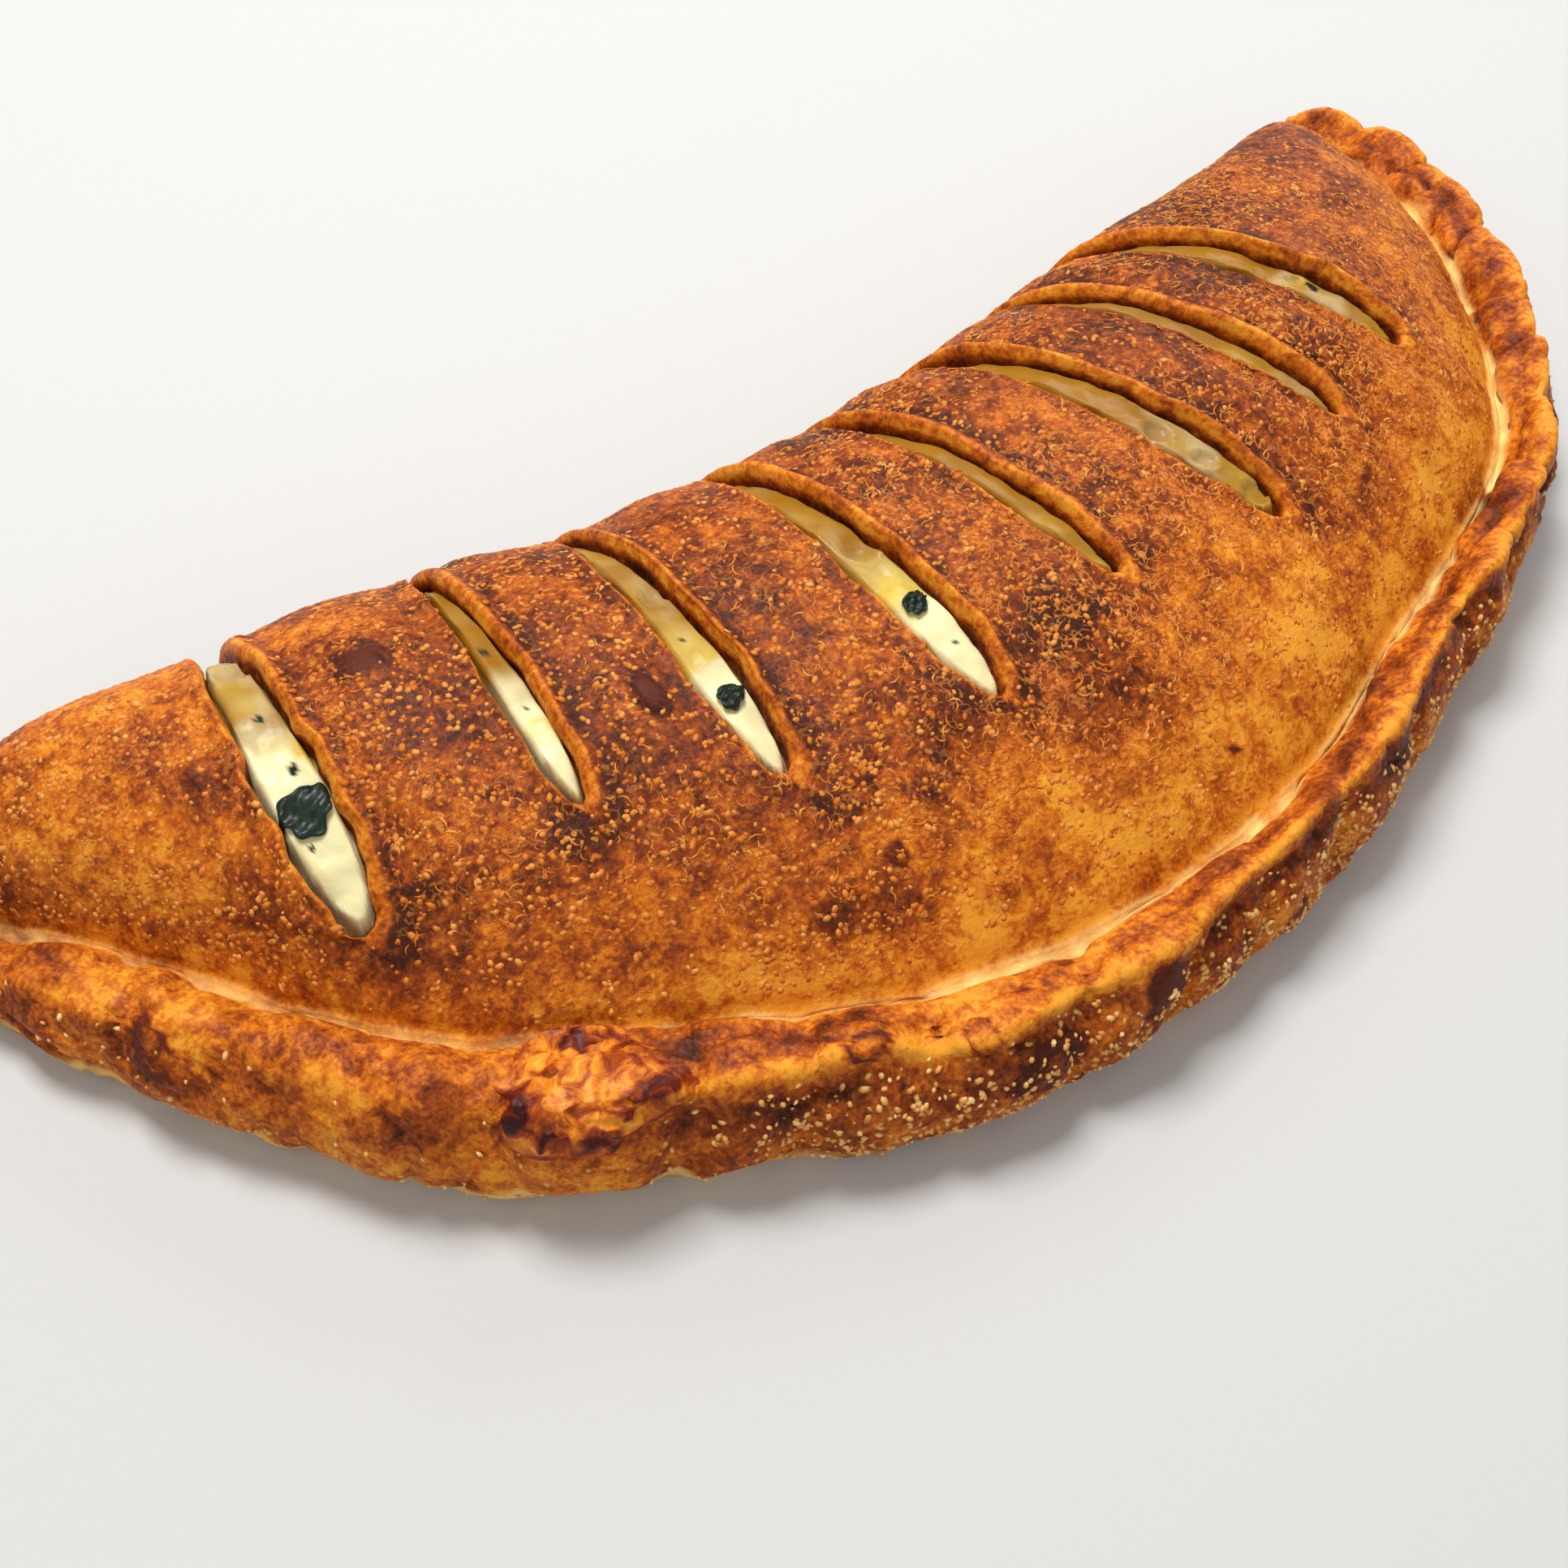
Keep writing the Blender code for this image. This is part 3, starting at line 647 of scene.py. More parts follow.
# Cuts rings of points open between two rows of some columns. The cells on a cut's left and right use their
# own copies of its points. It returns the points' numbers on either side, and for every point, the copies
# coming last, its row in the rings and its side: -1, or 1 for a copy, or 0 at a cut's ends.
def cutRings(count, around, firstId, cuts):
    leftId = np.arange(count * around).reshape(count, around) + firstId
    rightId = leftId.copy()
    source, side = [np.arange(count * around)], [-np.ones(count * around)]
    total = firstId + count * around
    for col, a, b in cuts:
        rightId[col, a + 1:b] = np.arange(total, total + b - a - 1)
        source.append(leftId[col, a + 1:b] - firstId)
        side.append(np.ones(b - a - 1))
        side[0][[col * around + a, col * around + b]] = 0
        total += b - a - 1
    return leftId, rightId, np.concatenate(source), np.concatenate(side)


# The hollow inside, which the cheese fills
cavity = {
    "firstStation": 1.15, "lastStation": lastStation - 1.35, "nearEdge": 0.09, "farEdge": 0.90,
    "lowest": 5 * mm,             # the top never comes nearer to the floor than this
    "endReach": 0.7, "endSize": 0.45,
}


def cavityPlaces(places):
    return places[(places > cavity["firstStation"]) & (places < cavity["lastStation"])]


# The hollow's rings: the dome moved inwards and closed by three low points, drawn in towards both ends.
# With a gap they are the cheese's, a little inside the dough all round.
def cavityRings(t, across, gap, endGap):
    tGrid, acrossGrid = np.meshgrid(t, across, indexing="ij")
    out, z = innerSection(tGrid, acrossGrid, form["wall"] + gap)
    z = np.maximum(z, form["floorThick"] + cavity["lowest"] - gap)
    width = out[:, -1:] - out[:, :1]
    low = [out[:, -1:] - 0.10 * width, out[:, :1] + 0.5 * width, out[:, :1] + 0.06 * width]
    out = np.concatenate([out] + low, axis=1)
    z = np.concatenate([z, np.full((len(t), 3), form["floorThick"] + gap)], axis=1)
    rings = placePoints(np.broadcast_to(t[:, None], out.shape), out, z)
    ends = np.minimum(t - cavity["firstStation"], cavity["lastStation"] - t)
    ends = np.clip(ends / cavity["endReach"], 0, 1)
    keep = cavity["endSize"] + (1 - cavity["endSize"]) * np.sqrt(1 - (1 - ends) ** 2)
    keep = keep * (1 - endGap + endGap * ends)
    centre = rings.mean(axis=1, keepdims=True)
    return centre + (rings - centre) * keep[:, None, None], tGrid, acrossGrid


def nearestIndex(values, wanted):
    return int(np.argmin(np.abs(values - wanted)))


def buildCrust():
    rings = outerRings()
    count, around, _ = rings.shape
    shapeOf = (count, around)
    t = np.broadcast_to(tPlaces[:, None], shapeOf)
    # 0 on the rope, 1 on the dome and the folded side, 2 on the base
    kindRow = np.repeat([0, 1, 2], [ropeCount, domeCount, crust["baseRows"]])
    turnRow = np.concatenate([np.linspace(0, 1, ropeCount), np.ones(around - ropeCount)])
    acrossRow = np.concatenate([np.zeros(ropeCount), acrossList, np.ones(crust["baseRows"])])
    kind, turn, across = (np.broadcast_to(row, shapeOf) for row in (kindRow, turnRow, acrossRow))
    shape, fields = dressSkin(rings, t, turn, across, kind == 0, kind == 1, kind == 2)

    # the outer skin, cut at the slits and opened
    rowOf = [[ropeCount + nearestIndex(acrossList, end) for end in slit[1:3]] for slit in slits]
    cuts = [(nearestIndex(tPlaces, slit[0]), a, b) for slit, (a, b) in zip(slits, rowOf)]
    leftId, rightId, source, side = cutRings(count, around, 0, cuts)
    verts, fields = shape.reshape(-1, 3)[source], fields.reshape(-1, 5)[source]
    t, across, onDome = t.reshape(-1)[source], across.reshape(-1)[source], (kind == 1).reshape(-1)[source]
    verts[onDome] = openSlits(verts[onDome], t[onDome], across[onDome], side[onDome], 1.0, 1.0)
    inset = crust["inset"]
    for axis in range(3):
        low = cadBox[0][axis] + inset if axis < 2 else -1.0
        verts[:, axis] = softLimit(verts[:, axis], low, cadBox[1][axis] - inset)

    # the inner skin, with the same rows as the dome where they lie over the hollow
    innerRows = [r for r in range(ropeCount, ropeCount + domeCount)
                 if cavity["nearEdge"] <= acrossRow[r] <= cavity["farEdge"]]
    cutPlaces = [tPlaces[col] for col, a, b in cuts]
    tInner = cavityPlaces(np.unique(np.concatenate([tPlaces[::5], cutPlaces])))
    inner = cavityRings(tInner, acrossRow[innerRows], 0, 0)[0]
    innerCount, innerAround, _ = inner.shape
    innerCuts = [(nearestIndex(tInner, slit[0]), innerRows.index(a), innerRows.index(b))
                 for slit, (a, b) in zip(slits, rowOf)]
    innerLeft, innerRight, source, side = cutRings(innerCount, innerAround, len(verts), innerCuts)
    innerVerts = inner.reshape(-1, 3)[source]
    innerT = np.broadcast_to(tInner[:, None], (innerCount, innerAround)).reshape(-1)[source]
    innerAcross = np.concatenate([acrossRow[innerRows], [1.0, 1.0, 1.0]])
    innerAcross = np.broadcast_to(innerAcross, (innerCount, innerAround)).reshape(-1)[source]
    top = innerAcross < 0.95
    innerVerts[top] = openSlits(innerVerts[top], innerT[top], innerAcross[top], side[top], 0.92, 0.0)
    verts = np.concatenate([verts, innerVerts])
    fields = np.concatenate([fields, np.tile([0.1, 0.0, 0.0, 0.0, 0.0], (len(innerVerts), 1))])
    faces = [ringCells(rightId, leftId), ringCells(innerRight, innerLeft)[:, [0, 3, 2, 1]]]

    # end caps of both skins: a fan to the middle of the end ring
    ends = ((leftId[0], True), (leftId[-1], False), (innerLeft[0], False), (innerLeft[-1], True))
    faces += [fanCells(len(verts) + k, ring, flip) for k, (ring, flip) in enumerate(ends)]
    middles = [[values[ring].mean(axis=0) for ring, flip in ends] for values in (verts, fields)]
    verts, fields = np.concatenate([verts, middles[0]]), np.concatenate([fields, middles[1]])

    # slit walls: a tube from the lip down to the hollow round each opening, bulging a little
    for slit, (col, a, b), (c, ia, ib) in zip(slits, cuts, innerCuts):
        outLoop = np.concatenate([leftId[col, a:b + 1], rightId[col, a + 1:b][::-1]])
        inLoop = np.concatenate([innerLeft[c, ia:ib + 1], innerRight[c, ia + 1:ib][::-1]])
        upper, lower = verts[outLoop], verts[inLoop]
        loops = [outLoop]
        side = sideVector(np.array([slit[0]]))[0]
        sign = np.concatenate([-np.ones(b - a + 1), np.ones(b - a - 1)])
        sign[0] = sign[b - a] = 0
        for level in np.linspace(0, 1, crust["wallRows"] + 1)[1:-1]:
            ring = upper * (1 - level) + lower * level
            bulge = 0.5 * mm * np.sin(pi * level) * (1 + 0.6 * np.sin(level * 9))
            ring = ring - side * (sign * bulge)[:, None]
            ring = ring + softNoise(ring, 2.6 * mm, 5)[:, None] * side * 0.28 * mm * np.abs(sign)[:, None]
            tone = np.zeros((len(ring), 5))
            # painted shade: each wall darkens from a golden top to brown lower down, where shade falls into
            # the slit
            tone[:, 0] = 0.16 + 0.12 * softNoise(ring, 5 * mm, 77) + 0.55 * easeStep(level, 0.12, 0.5)
            loops.append(np.arange(len(verts), len(verts) + len(ring)))
            verts, fields = np.concatenate([verts, ring]), np.concatenate([fields, tone])
        loops.append(inLoop)
        for one, two in zip(loops[:-1], loops[1:]):
            faces.append(np.stack([one, np.roll(one, -1), np.roll(two, -1), two], axis=-1))
    faces = np.concatenate(faces)
    piece = makePiece("bakedCrust", verts, faces, crustMaterial())
    for index, name in enumerate(crustFieldNames):
        storeFloat(piece, name, fields[:, index])
    print("crust:", len(verts), "points,", len(faces), "faces")
    return piece, verts, fields, leftId, rightId


crustPiece, crustVerts, crustFields, crustLeft, crustRight = buildCrust()
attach(crustPiece, "root")
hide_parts("crust")

# The cheese that fills the hollow and stands up into the slits
cheese = {
    "gap": 0.35 * mm, "endGap": 0.044,       # clearance to the dough, and at the ends, as a share
    "rise": 5.5 * mm,                        # how far it stands up into a slit
    "lump": 1.3 * mm, "rows": 130, "slitColumns": 26,
    "tones": [(0.3, (220, 204, 130)), (0.5, (210, 186, 92)), (0.75, (196, 158, 56))],
    # cheeseShade is the olive of painted shade in the slits
    "ricotta": (222, 216, 168), "cheeseShade": (142, 94, 15), "flecks": (28, 40, 28),
    "subsurface": 0.12, "subsurfaceRadius": (0.003, 0.0025, 0.0014),
}
# hollows left by burst bubbles: slit number from 0, across, sideways (mm), radius (mm), depth (mm)
bubbles = [(5, 0.50, -1.0, 3.2, 2.0), (5, 0.42, -0.5, 3.0, 1.9), (5, 0.33, 0.0, 3.0, 1.8),
           (3, 0.62, 1.5, 4.2, 1.5), (0, 0.70, 1.0, 4.0, 1.5), (2, 0.64, 0.8, 3.0, 1.4),
           (7, 0.5, 0.4, 2.6, 1.2)]
# dark herb flecks: slit number from 0, across, sideways (mm), radius (mm)
flecks = [(0, 0.62, 0.3, 1.0), (0, 0.36, -2.0, 0.8), (0, 0.50, 1.5, 1.3), (1, 0.63, -0.8, 1.0),
          (1, 0.53, 0.4, 0.5), (2, 0.58, -0.6, 0.6), (3, 0.44, 0.8, 0.7), (7, 0.47, 0.8, 1.8)]


# A noise runs up a ramp of yellows; white ricotta, olive painted shade and dark herb flecks lie over it where
# the stored fields say. The light goes a little way in, and a fine noise raises the surface.
def cheeseMaterial():
    mat, tree, shader = newMaterial("meltedCheese", 0.3, 0.14)
    color = rampNode(tree, cheese["tones"], noiseNode(tree, 120.0, 3.0))
    for name in ("ricotta", "cheeseShade", "flecks"):
        color = mixColor(tree, attributeNode(tree, name), color, cheese[name])
    bump = bumpNode(tree, noiseNode(tree, 420.0, 3.0), 0.25, 0.8 * mm)
    feed(tree, shader, {"Base Color": color, "Normal": bump, "Subsurface Weight": cheese["subsurface"],
                        "Subsurface Radius": cheese["subsurfaceRadius"], "Subsurface Scale": 1.0})
    return mat


# Distance on the plan from a place in a slit, as a share of a radius (mm)
def slitRadius(points, number, across, sideways, radius):
    centre, side = spotOn(innerSection, slits[number][0], across, form["wall"])
    return np.linalg.norm((points - centre - side * sideways * mm)[..., :2], axis=-1) / (radius * mm)


# The hollow's form, lifted into each slit, with lumps, burst bubbles and flecks where it shows
def buildCheese():
    closer = [slit[0] + np.linspace(-0.22, 0.22, cheese["slitColumns"]) for slit in slits]
    places = cavityPlaces(np.unique(np.concatenate([tPlaces] + closer)))
    across = np.linspace(cavity["nearEdge"], cavity["farEdge"], cheese["rows"])
    grid, t, across = cavityRings(places, across, cheese["gap"], cheese["endGap"])
    top = grid[:, :cheese["rows"]]
    lift = np.zeros(t.shape)
    for slit in slits:
        half, distance, _, within = besideSlit(top, t, across, slit)
        half = 0.92 * half
        inside = easeStep(half - np.abs(distance), 0.0, 1.4 * mm) * within
        lean = 1 - 0.12 * np.clip(distance / (half + 1e-6), -1, 1)
        lift = lift + inside * lean * cheese["rise"]
    for number, place, sideways, radius, depth in bubbles:
        r = slitRadius(top, number, place, sideways, radius)
        lift = lift - depth * mm * np.clip(1 - r * r, 0, 1) ** 0.5 + 0.35 * mm * bell(r, 1.05, 0.16)
    lump = cloudNoise(top, 6.5 * mm, 2, 91) * cheese["lump"]
    lump = np.minimum(lump + cloudNoise(top, 2.4 * mm, 2, 95) * 0.18 * mm, 0.6 * mm)
    top[..., 2] += lift + lump * easeStep(lift, 0.0, 1.0 * mm)
    # white ricotta lies in lumps, and at the near end of the left-hand slits
    ricotta = easeStep(cloudNoise(top, 12 * mm, 2, 99), 0.05, 0.3)
    nearEnd = easeStep(-across - 0.03 * cloudNoise(top, 5 * mm, 2, 101), -0.53, -0.46)
    nearEnd = nearEnd * easeStep(-t, -5.6, -5.2)
    ricotta = np.maximum(ricotta, 0.9 * nearEnd)
    # painted shade: the cheese is darkened to olive towards the far end of each slit, more so in the
    # right-hand ones
    cheeseShade = 0.92 * easeStep(across, 0.50, 0.64) * easeStep(t, 0.6, 2.6) + 0.78 * easeStep(t, 5.0, 5.8)
    cheeseShade = np.clip(cheeseShade * (1 - nearEnd) + 0.30 * cloudNoise(top, 6 * mm, 2, 103), 0, 0.95)
    fleck = np.zeros(t.shape)
    for spec in flecks:
        r = slitRadius(top, *spec) + 0.35 * softNoise(top, 1.3 * mm, 107)
        fleck = np.maximum(fleck, easeStep(-r, -1.0, -0.85))
    ids = np.arange(grid.shape[0] * grid.shape[1]).reshape(grid.shape[:2])
    verts = np.concatenate([grid.reshape(-1, 3), [grid[0].mean(axis=0)], [grid[-1].mean(axis=0)]])
    faces = [ringCells(ids, ids), fanCells(ids.size, ids[0], True), fanCells(ids.size + 1, ids[-1], False)]
    piece = makePiece("cheeseFilling", verts, np.concatenate(faces), cheeseMaterial())
    for name, field in (("ricotta", ricotta), ("cheeseShade", cheeseShade), ("flecks", fleck)):
        value = np.concatenate([field, np.zeros((len(places), 3))], axis=1).reshape(-1)
        storeFloat(piece, name, np.concatenate([value, [0, 0]]))
    print("cheese:", len(verts), "points")
    return piece, top


cheesePiece, cheeseTop = buildCheese()
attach(cheesePiece, "root")
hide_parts("filling")

# Spinach on the cheese
leaves = {   # node: slit number, across, length, width (mm), turn (degrees)
    "spinach_leaf_1": (0, 0.42, 10.5, 9.5, 15),
    "spinach_leaf_2": (2, 0.48, 5.4, 5.4, -10),
    "spinach_leaf_3": (3, 0.51, 6.2, 4.6, 25),
}
leaf = {
    "columns": 34, "rows": 28, "wave": 0.5 * mm, "clearance": 0.15 * mm, "thickness": 0.4 * mm,
    "roughness": 0.4, "specular": 0.3, "scale": 500.0, "detail": 3.0, "bump": 0.4,
    "tones": [(0.3, (9, 21, 14)), (0.6, (18, 38, 24)), (0.8, (40, 62, 34))],
}


# Height of known points at wanted ones, as the mean of the nearest few, weighted by nearness
def heightNear(wanted, known, few, least):
    away = ((known[None, :, :2] - wanted[:, None, :]) ** 2).sum(axis=-1)
    pick = np.argpartition(away, few, axis=1)[:, :few]
    weight = 1 / (np.take_along_axis(away, pick, axis=1) + least)
    return (known[pick, 2] * weight).sum(axis=1) / weight.sum(axis=1)


# A crumpled oval leaf: a square grid rounded to a disc with a wavy edge, laid on the cheese and waved,
# with a second face over it
def buildLeaf(node, spec, material):
    number, across, length, width, turn = spec
    u, v = np.meshgrid(np.linspace(-1, 1, leaf["columns"]), np.linspace(-1, 1, leaf["rows"]), indexing="ij")
    ru, rv = u * np.sqrt(1 - 0.5 * v * v), v * np.sqrt(1 - 0.5 * u * u)
    angle = np.arctan2(rv, ru)
    edge = 1 + 0.10 * np.sin(3 * angle + 1) + 0.07 * np.sin(7 * angle)
    x, y = ru * edge * length * mm / 2, rv * edge * width * mm / 2
    a, b = np.cos(radians(turn)), np.sin(radians(turn))
    centre, side = spotOn(innerSection, slits[number][0], across, form["wall"])
    chord = np.array([-side[1], side[0]])
    flat = centre[:2] + side[:2] * (x * a - y * b)[..., None] + chord * (x * b + y * a)[..., None]
    points = flat.reshape(-1, 2)
    below = cheeseTop.reshape(-1, 3)
    below = below[np.linalg.norm(below[:, :2] - points.mean(axis=0), axis=1) < 12 * mm]
    level = heightNear(points, below, 4, 1e-9).reshape(u.shape)
    wave = leaf["wave"] * (1 + np.sin(4.5 * u + 2 * v) * 0.6 + 0.4 * np.sin(9 * v - 3 * u))
    under = np.concatenate([flat, (level + wave + leaf["clearance"])[..., None]], axis=-1).reshape(-1, 3)
    over = under + np.array([0, 0, leaf["thickness"]])
    ids = np.arange(u.size).reshape(u.shape)
    quad = np.stack([ids[:-1, :-1], ids[1:, :-1], ids[1:, 1:], ids[:-1, 1:]], axis=-1).reshape(-1, 4)
    ring = np.concatenate([ids[:, 0], ids[-1, 1:], ids[-2::-1, -1], ids[0, -2:0:-1]])
    nextRing = np.roll(ring, -1)
    rimFaces = np.stack([ring, nextRing, nextRing + ids.size, ring + ids.size], axis=-1)
    faces = np.concatenate([quad[:, ::-1], quad + ids.size, rimFaces])
    piece = makePiece(node + "Piece", np.concatenate([under, over]), faces, material)
    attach(piece, "root")
    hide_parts(node)


spinachMat = mottledMaterial("wiltedSpinach", leaf)
for node, spec in leaves.items():
    buildLeaf(node, spec, spinachMat)
print("leaves made")

# Cheese baked on the rope
leak = {
    "station": 2.44, "turn": 0.62, "size": (19, 12, 3.4), "tilt": 40, "heading": -33,
    "rings": 90, "segments": 150,
    "tones": [(0.0, (222, 156, 50)), (0.24, (204, 114, 26)), (0.46, (150, 64, 16)), (0.70, (96, 28, 12)),
              (1.0, (48, 16, 9))],
}
# charred lumps on it: place along and across, and half sizes, as shares of its own half sizes
leakKnobs = [(-0.08, 0.74, 0.28, 0.15), (-0.78, -0.20, 0.20, 0.34), (0.74, 0.04, 0.28, 0.26),
             (0.14, -0.64, 0.28, 0.18), (0.42, -0.28, 0.20, 0.12), (-0.44, 0.40, 0.12, 0.09),
             (-0.36, -0.60, 0.13, 0.09)]


# Crispness, stored with the shape, and a noise run up a ramp from golden to nearly black
def leakMaterial():
    mat, tree, shader = newMaterial("bakedLeak", 0.42, 0.15)
    mottle = rangeNode(tree, noiseNode(tree, 240.0, 4.0, 0.6, 0.8), 0.36, 0.64, -0.26, 0.26)
    level = mathNode(tree, "ADD", attributeNode(tree, "crisp"), mottle, clamp=True)
    feed(tree, shader, {"Base Color": rampNode(tree, leak["tones"], level),
                        "Normal": bumpNode(tree, noiseNode(tree, 500.0, 3.0), 0.3, 0.8 * mm)})
    return mat


# Height of the crust's skin over the leak's own plane, as a smoothed grid read with bilinear weights
def skinLevel(local, centre, turning):
    skin = (crustVerts[crustLeft[:, :ropeCount + 14]].reshape(-1, 3) - centre) @ turning
    skin = skin[(np.abs(skin[:, 0]) < 28 * mm) & (np.abs(skin[:, 1]) < 20 * mm) & (skin[:, 2] > -14 * mm)]
    gx, gy = np.linspace(-27, 27, 46) * mm, np.linspace(-19, 19, 34) * mm
    spots = np.stack(np.meshgrid(gx, gy, indexing="ij"), axis=-1).reshape(-1, 2)
    level = heightNear(spots, skin, 5, 1e-7).reshape(len(gx), len(gy))
    for axis in (0, 1):
        level = (level + np.roll(level, 1, axis=axis) + np.roll(level, -1, axis=axis)) / 3
    u = np.clip((local[:, 0] - gx[0]) / (gx[1] - gx[0]), 1, len(gx) - 2.001)
    v = np.clip((local[:, 1] - gy[0]) / (gy[1] - gy[0]), 1, len(gy) - 2.001)
    i, j = u.astype(int), v.astype(int)
    u, v = u - i, v - j
    return ((level[i, j] * (1 - u) + level[i + 1, j] * u) * (1 - v)
            + (level[i, j + 1] * (1 - u) + level[i + 1, j + 1] * u) * v)


# A patch of baked cheese: a ball's grid with a ragged outline, flattened, its upper side boiling up with
# charred ragged lumps round a hollow middle. Crispness follows the lumps, the edge and a noise.
def buildLeak():
    down = np.linspace(0, pi, leak["rings"])[1:-1]
    around = np.linspace(0, 2 * pi, leak["segments"], endpoint=False)
    down, around = np.meshgrid(down, around, indexing="ij")
    ball = np.stack([np.sin(down) * np.cos(around), np.sin(down) * np.sin(around), np.cos(down)], axis=-1)
    ball = np.concatenate([ball.reshape(-1, 3), [[0, 0, 1], [0, 0, -1]]])
    outline = 0.94 + 0.20 * softNoise(ball * np.array([1, 1, 0]), 0.6, 121)
    outline = outline + 0.10 * softNoise(ball, 0.22, 123)
    local = ball * np.array(leak["size"]) * mm
    local[:, :2] *= outline[:, None]
    r = np.hypot(ball[:, 0], ball[:, 1])
    knob = np.zeros(len(ball))
    shareX = ball[:, 0] + 0.20 * cloudNoise(local, 5 * mm, 3, 113)
    shareY = ball[:, 1] + 0.28 * cloudNoise(local, 5 * mm, 3, 115)
    for along, over, halfLong, halfWide in leakKnobs:
        away = np.hypot((shareX - along) / halfLong, (shareY - over) / halfWide)
        knob = np.maximum(knob, easeStep(-away, -1.2, -0.6))
    boil = cloudNoise(local, 4.5 * mm, 3, 111)
    wrinkle = 1 - np.abs(softNoise(local, 2.4 * mm, 127)) / 0.5
    crisp = 0.31 + 0.44 * knob + 0.16 * easeStep(r, 0.80, 0.98)
    lift = mm * (0.9 * knob + 0.9 * boil + 0.25 * wrinkle - 0.9 * bell(r, 0, 0.6))
    lift = np.where(ball[:, 2] > 0, lift, 0.3 * mm * boil)
    local[:, 2] = local[:, 2] + lift * np.clip(np.abs(ball[:, 2]) * 3, 0, 1)
    crisp = crisp + 0.30 * cloudNoise(local, 6 * mm, 3, 117)
    centre = spotOn(ropeSection, leak["station"], leak["turn"])[0]
    heading = Matrix.Rotation(radians(leak["heading"]), 3, "Z")
    turning = np.array(heading @ Matrix.Rotation(radians(leak["tilt"]), 3, "X"))
    local[:, 2] += skinLevel(local, centre, turning) - 0.5 * mm
    ids = np.arange(len(ball) - 2).reshape(-1, leak["segments"])
    faces = [ringCells(ids, ids)[:, [0, 3, 2, 1]], fanCells(ids.size, ids[0], False),
             fanCells(ids.size + 1, ids[-1], True)]
    piece = makePiece("bakedLeak", local @ turning.T + centre, np.concatenate(faces), leakMaterial())
    storeFloat(piece, "crisp", np.clip(crisp, 0, 1))
    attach(piece, "root")
    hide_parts("leaked_cheese")


buildLeak()
print("leak made")

# Scattered relief, copies of a small shape set on the crust's skin: first and last station, first and last
# row, number tried, sizes (mm), stretch, seed of the random draw
domeRows = (ropeCount + 2, ropeCount + domeCount - 8)
scattered = {
    "tinyBlisters": {"stations": (0.3, 13.4), "rows": domeRows, "tried": 33000, "size": (0.36, 1.0),
                     "stretch": (1.0, 1.7), "seed": 5},
    "blisterTrails": {"stations": (2.1, 13.4), "rows": domeRows, "tried": 22000, "size": (0.28, 0.50),
                      "stretch": (0.8, 1.5), "seed": 6},
    "cornmealGrains": {"stations": (0.4, 13.4), "rows": (2, 31), "tried": 13000, "size": (0.35, 0.8),
                       "stretch": (1.0, 1.8), "seed": 9},
}
blisterLook = {"roughness": 0.5, "specular": 0.15, "scale": 260.0, "detail": 2.0, "bump": 0,
               "tones": [(0.32, (172, 84, 20)), (0.5, (196, 112, 36)), (0.7, (218, 148, 70))]}
grainLook = {"roughness": 0.6, "specular": 0.35, "scale": 300.0, "detail": 2.0, "bump": 0,
             "tones": [(0.3, (190, 118, 44)), (0.55, (226, 168, 92)), (0.75, (246, 214, 150))]}
tallness = (0.75, 1.15)       # height of a copy against its size
boxGap = 0.05 * mm            # how far copies stay inside the solids' box


# Copies land evenly by area on the skin's cells and are kept by the chance there. Each stands on the
# skin's normal, turned at random.
def scatter(name, template, templateFaces, material, chance):
    spec = scattered[name]
    rng = np.random.default_rng(spec["seed"])
    count = spec["tried"]
    columns = np.flatnonzero((tPlaces >= spec["stations"][0]) & (tPlaces < spec["stations"][1]))[:-1]
    i = rng.choice(columns, count)
    r = rng.integers(spec["rows"][0], spec["rows"][1] - 1, count)
    fu, fv = rng.random(count)[:, None], rng.random(count)[:, None]
    p00, p10 = crustVerts[crustRight[i, r]], crustVerts[crustLeft[i + 1, r]]
    p01, p11 = crustVerts[crustRight[i, r + 1]], crustVerts[crustLeft[i + 1, r + 1]]
    n = np.cross(p10 - p00, p01 - p00)
    area = np.linalg.norm(n, axis=-1)
    keep = rng.random(count) < area / np.quantile(area, 0.97)
    point = (p00 * (1 - fu) + p10 * fu) * (1 - fv) + (p01 * (1 - fu) + p11 * fu) * fv
    n = n / area[:, None]
    inside = crustVerts.mean(axis=0) - np.array([0, 0, 0.02])
    n = np.where((n * (point - inside)).sum(axis=-1, keepdims=True) < 0, -n, n)
    keep &= rng.random(count) < chance(point, tPlaces[i], crustRight[i, r])
    point, n = point[keep], n[keep]
    m = len(point)
    aside = np.cross(n, np.array([0.3, 0.8, 0.5]))
    aside /= np.linalg.norm(aside, axis=-1, keepdims=True)
    spin = rng.random(m) * 2 * pi
    e1 = aside * np.cos(spin)[:, None] + np.cross(n, aside) * np.sin(spin)[:, None]
    e2 = np.cross(n, e1)
    size = rng.uniform(*spec["size"], m) * mm
    length = size * rng.uniform(*spec["stretch"], m)
    tall = size * rng.uniform(*tallness, m)
    verts = point[:, None, :]
    for axis, (direction, scale) in enumerate(((e1, length), (e2, size), (n, tall))):
        verts = verts + direction[:, None, :] * (template[None, :, axis:axis + 1] * scale[:, None, None])
    verts = np.clip(verts, np.array(cadBox[0]) + boxGap, np.array(cadBox[1]) - boxGap).reshape(-1, 3)
    faces = (templateFaces[None] + (np.arange(m) * len(template))[:, None, None]).reshape(-1, 3)
    piece = makePiece(name, verts, faces, material)
    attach(piece, "root")
    print(name + ":", m, "copies,", len(faces), "faces")


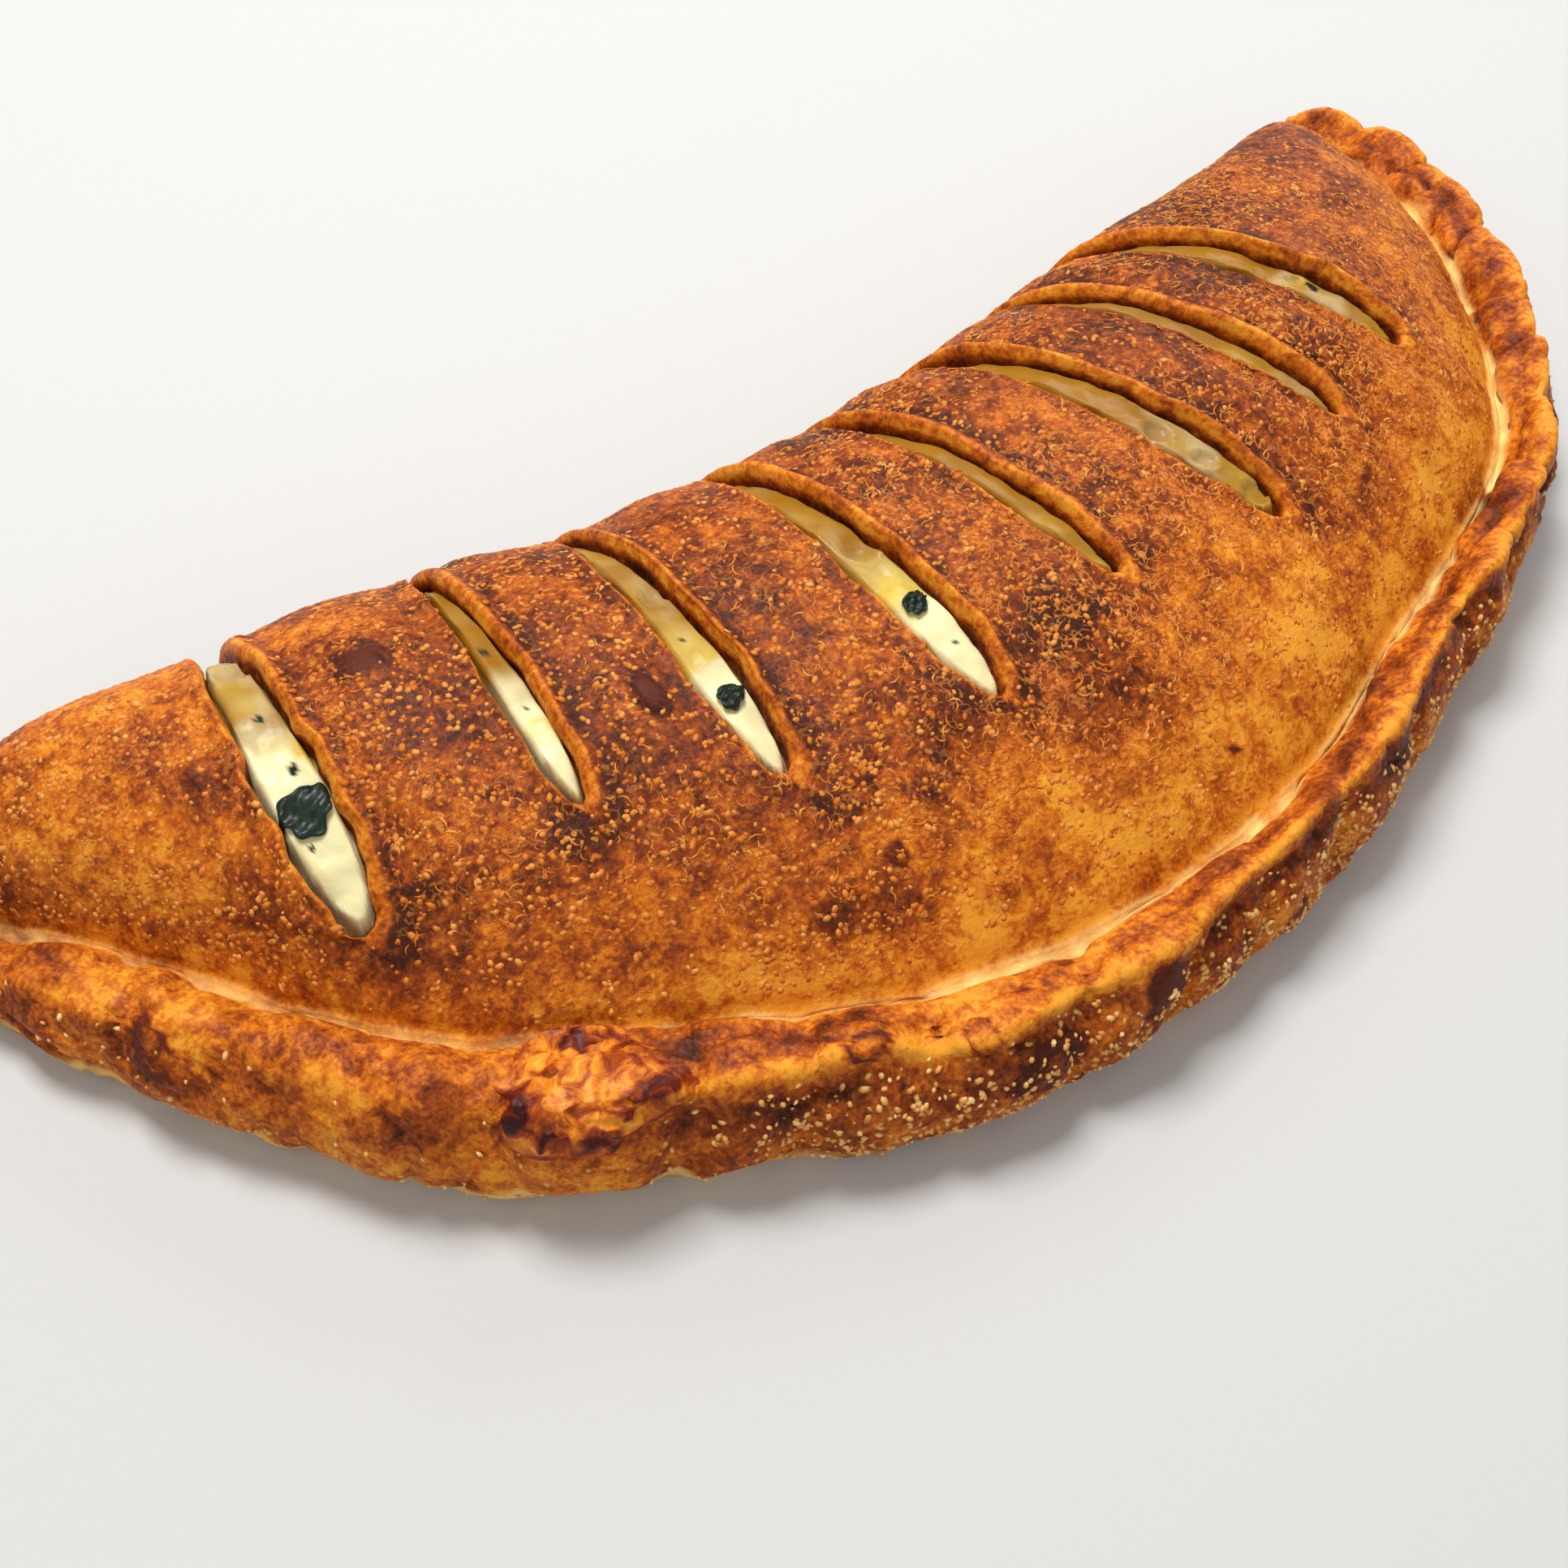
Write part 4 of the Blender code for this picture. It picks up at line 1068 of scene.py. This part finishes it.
# A low dome: a base ring just under the skin, a top point and a point below that closes it
def lowDome(height, segments=6):
    angle = np.arange(segments) * 2 * pi / segments
    base = np.stack([np.cos(angle), np.sin(angle), np.full(segments, -0.12)], axis=-1)
    one = np.arange(segments)
    two = (one + 1) % segments
    faces = np.concatenate([np.stack([one, two, np.full(segments, segments)], -1),
                            np.stack([two, one, np.full(segments, segments + 1)], -1)])
    return np.concatenate([base, [[0, 0, height], [0, 0, -0.5]]]), faces


# A short bent ridge: a spine curved like an arc, with a left, a right and a top point at each step
def bentRidge(steps=4, bend=0.9):
    u = np.linspace(-1, 1, steps)
    spine = np.stack([u * 2.9, bend * (1 - u * u) * 2.0, np.zeros(steps)], axis=-1)
    wide = np.sqrt(np.clip(1.15 - u * u, 0.08, 1)) * 0.7
    offsets = ((wide, np.full(steps, -0.15)), (-wide, np.full(steps, -0.15)), (np.zeros(steps), 0.55 * wide))
    verts = np.concatenate([spine + np.stack([np.zeros(steps), y, z], axis=-1) for y, z in offsets])
    faces = []
    for left in range(steps - 1):
        right, top = left + steps, left + 2 * steps
        faces += [(left, top, top + 1), (left, top + 1, left + 1), (top, right, right + 1),
                  (top, right + 1, top + 1), (right, left, left + 1), (right, left + 1, right + 1)]
    faces += [(0, steps, 2 * steps), (steps - 1, 3 * steps - 1, 2 * steps - 1)]
    return verts, np.array(faces)


def blisterChance(point, t, ids):
    return crustFields[ids, crustFieldNames.index("specks")]


def trailChance(point, t, ids):
    return 0.9 * crustFields[ids, crustFieldNames.index("trails")]


# Cornmeal lies low on the rope, most of it in front
def grainChance(point, t, ids):
    inFront = 0.12 + 0.88 * easeStep(t, 2.7, 3.2) * easeStep(-t, -8.5, -7.0)
    return 0.62 * easeStep(-point[:, 2], -27 * mm, -19 * mm) * inFront


blisterMat = mottledMaterial("tinyBlister", blisterLook)
scatter("tinyBlisters", *lowDome(0.27), blisterMat, blisterChance)
scatter("blisterTrails", *bentRidge(), blisterMat, trailChance)
scatter("cornmealGrains", *lowDome(0.9), mottledMaterial("cornmealGrain", grainLook), grainChance)

# Stage: pale floor, soft light, camera at the photograph's angle
stageLook = {
    "floorTone": (190, 189, 187), "floorHalf": 4.0, "worldTone": (0.92, 0.90, 0.87, 1), "worldStrength": 0.5,
    "aim": (0, 0, 0.02),          # where the lamps point
    # lamp: place, size, power
    "lamps": {"keyLight": ((0.02, 0.5, 1.2), 0.45, 18.5), "fillLight": ((-0.9, -0.9, 0.9), 1.2, 4.5),
              "rimLight": ((1.0, 0.5, 0.7), 0.6, 5.0)},
    "cameraPlace": (-0.2237, -0.1935, 0.3553), "yaw": -42.0, "tilt": 36.4, "roll": 2.48,
    "lens": 46.8, "sensor": 36,
}


def addObject(name, data):
    thing = bpy.data.objects.new(name, data)
    bpy.context.scene.collection.objects.link(thing)
    return thing


def buildStage():
    mesh = bpy.data.meshes.new("floor")
    half = stageLook["floorHalf"]
    corners = [(-half, -half, 0), (half, -half, 0), (half, half, 0), (-half, half, 0)]
    mesh.from_pydata(corners, [], [(0, 1, 2, 3)])
    mat, tree, shader = newMaterial("paleFloor", 0.7, 0.3)
    feed(tree, shader, {"Base Color": light(stageLook["floorTone"])})
    mesh.materials.append(mat)
    addObject("floor", mesh)
    world = bpy.data.worlds.new("softSky")
    bpy.context.scene.world = world
    world.use_nodes = True
    feed(world.node_tree, world.node_tree.nodes["Background"],
         {"Color": stageLook["worldTone"], "Strength": stageLook["worldStrength"]})
    for name, (place, size, power) in stageLook["lamps"].items():
        lamp = bpy.data.lights.new(name, "AREA")
        lamp.size = size
        lamp.energy = power
        thing = addObject(name, lamp)
        thing.location = place
        thing.rotation_euler = (Vector(stageLook["aim"]) - Vector(place)).to_track_quat("-Z", "Y").to_euler()
    camera = bpy.data.cameras.new("photoCamera")
    camera.lens = stageLook["lens"]
    camera.sensor_width = stageLook["sensor"]
    camera.clip_start = 0.01
    eye = addObject("photoCamera", camera)
    yaw, tilt, roll = (Matrix.Rotation(radians(stageLook[name]), 3, axis)
                       for name, axis in (("yaw", "Z"), ("tilt", "X"), ("roll", "Z")))
    eye.location = stageLook["cameraPlace"]
    eye.rotation_euler = (yaw @ tilt @ roll).to_euler()
    bpy.context.scene.camera = eye
    bpy.context.scene.view_settings.view_transform = "Standard"


buildStage()
print("stage ready")
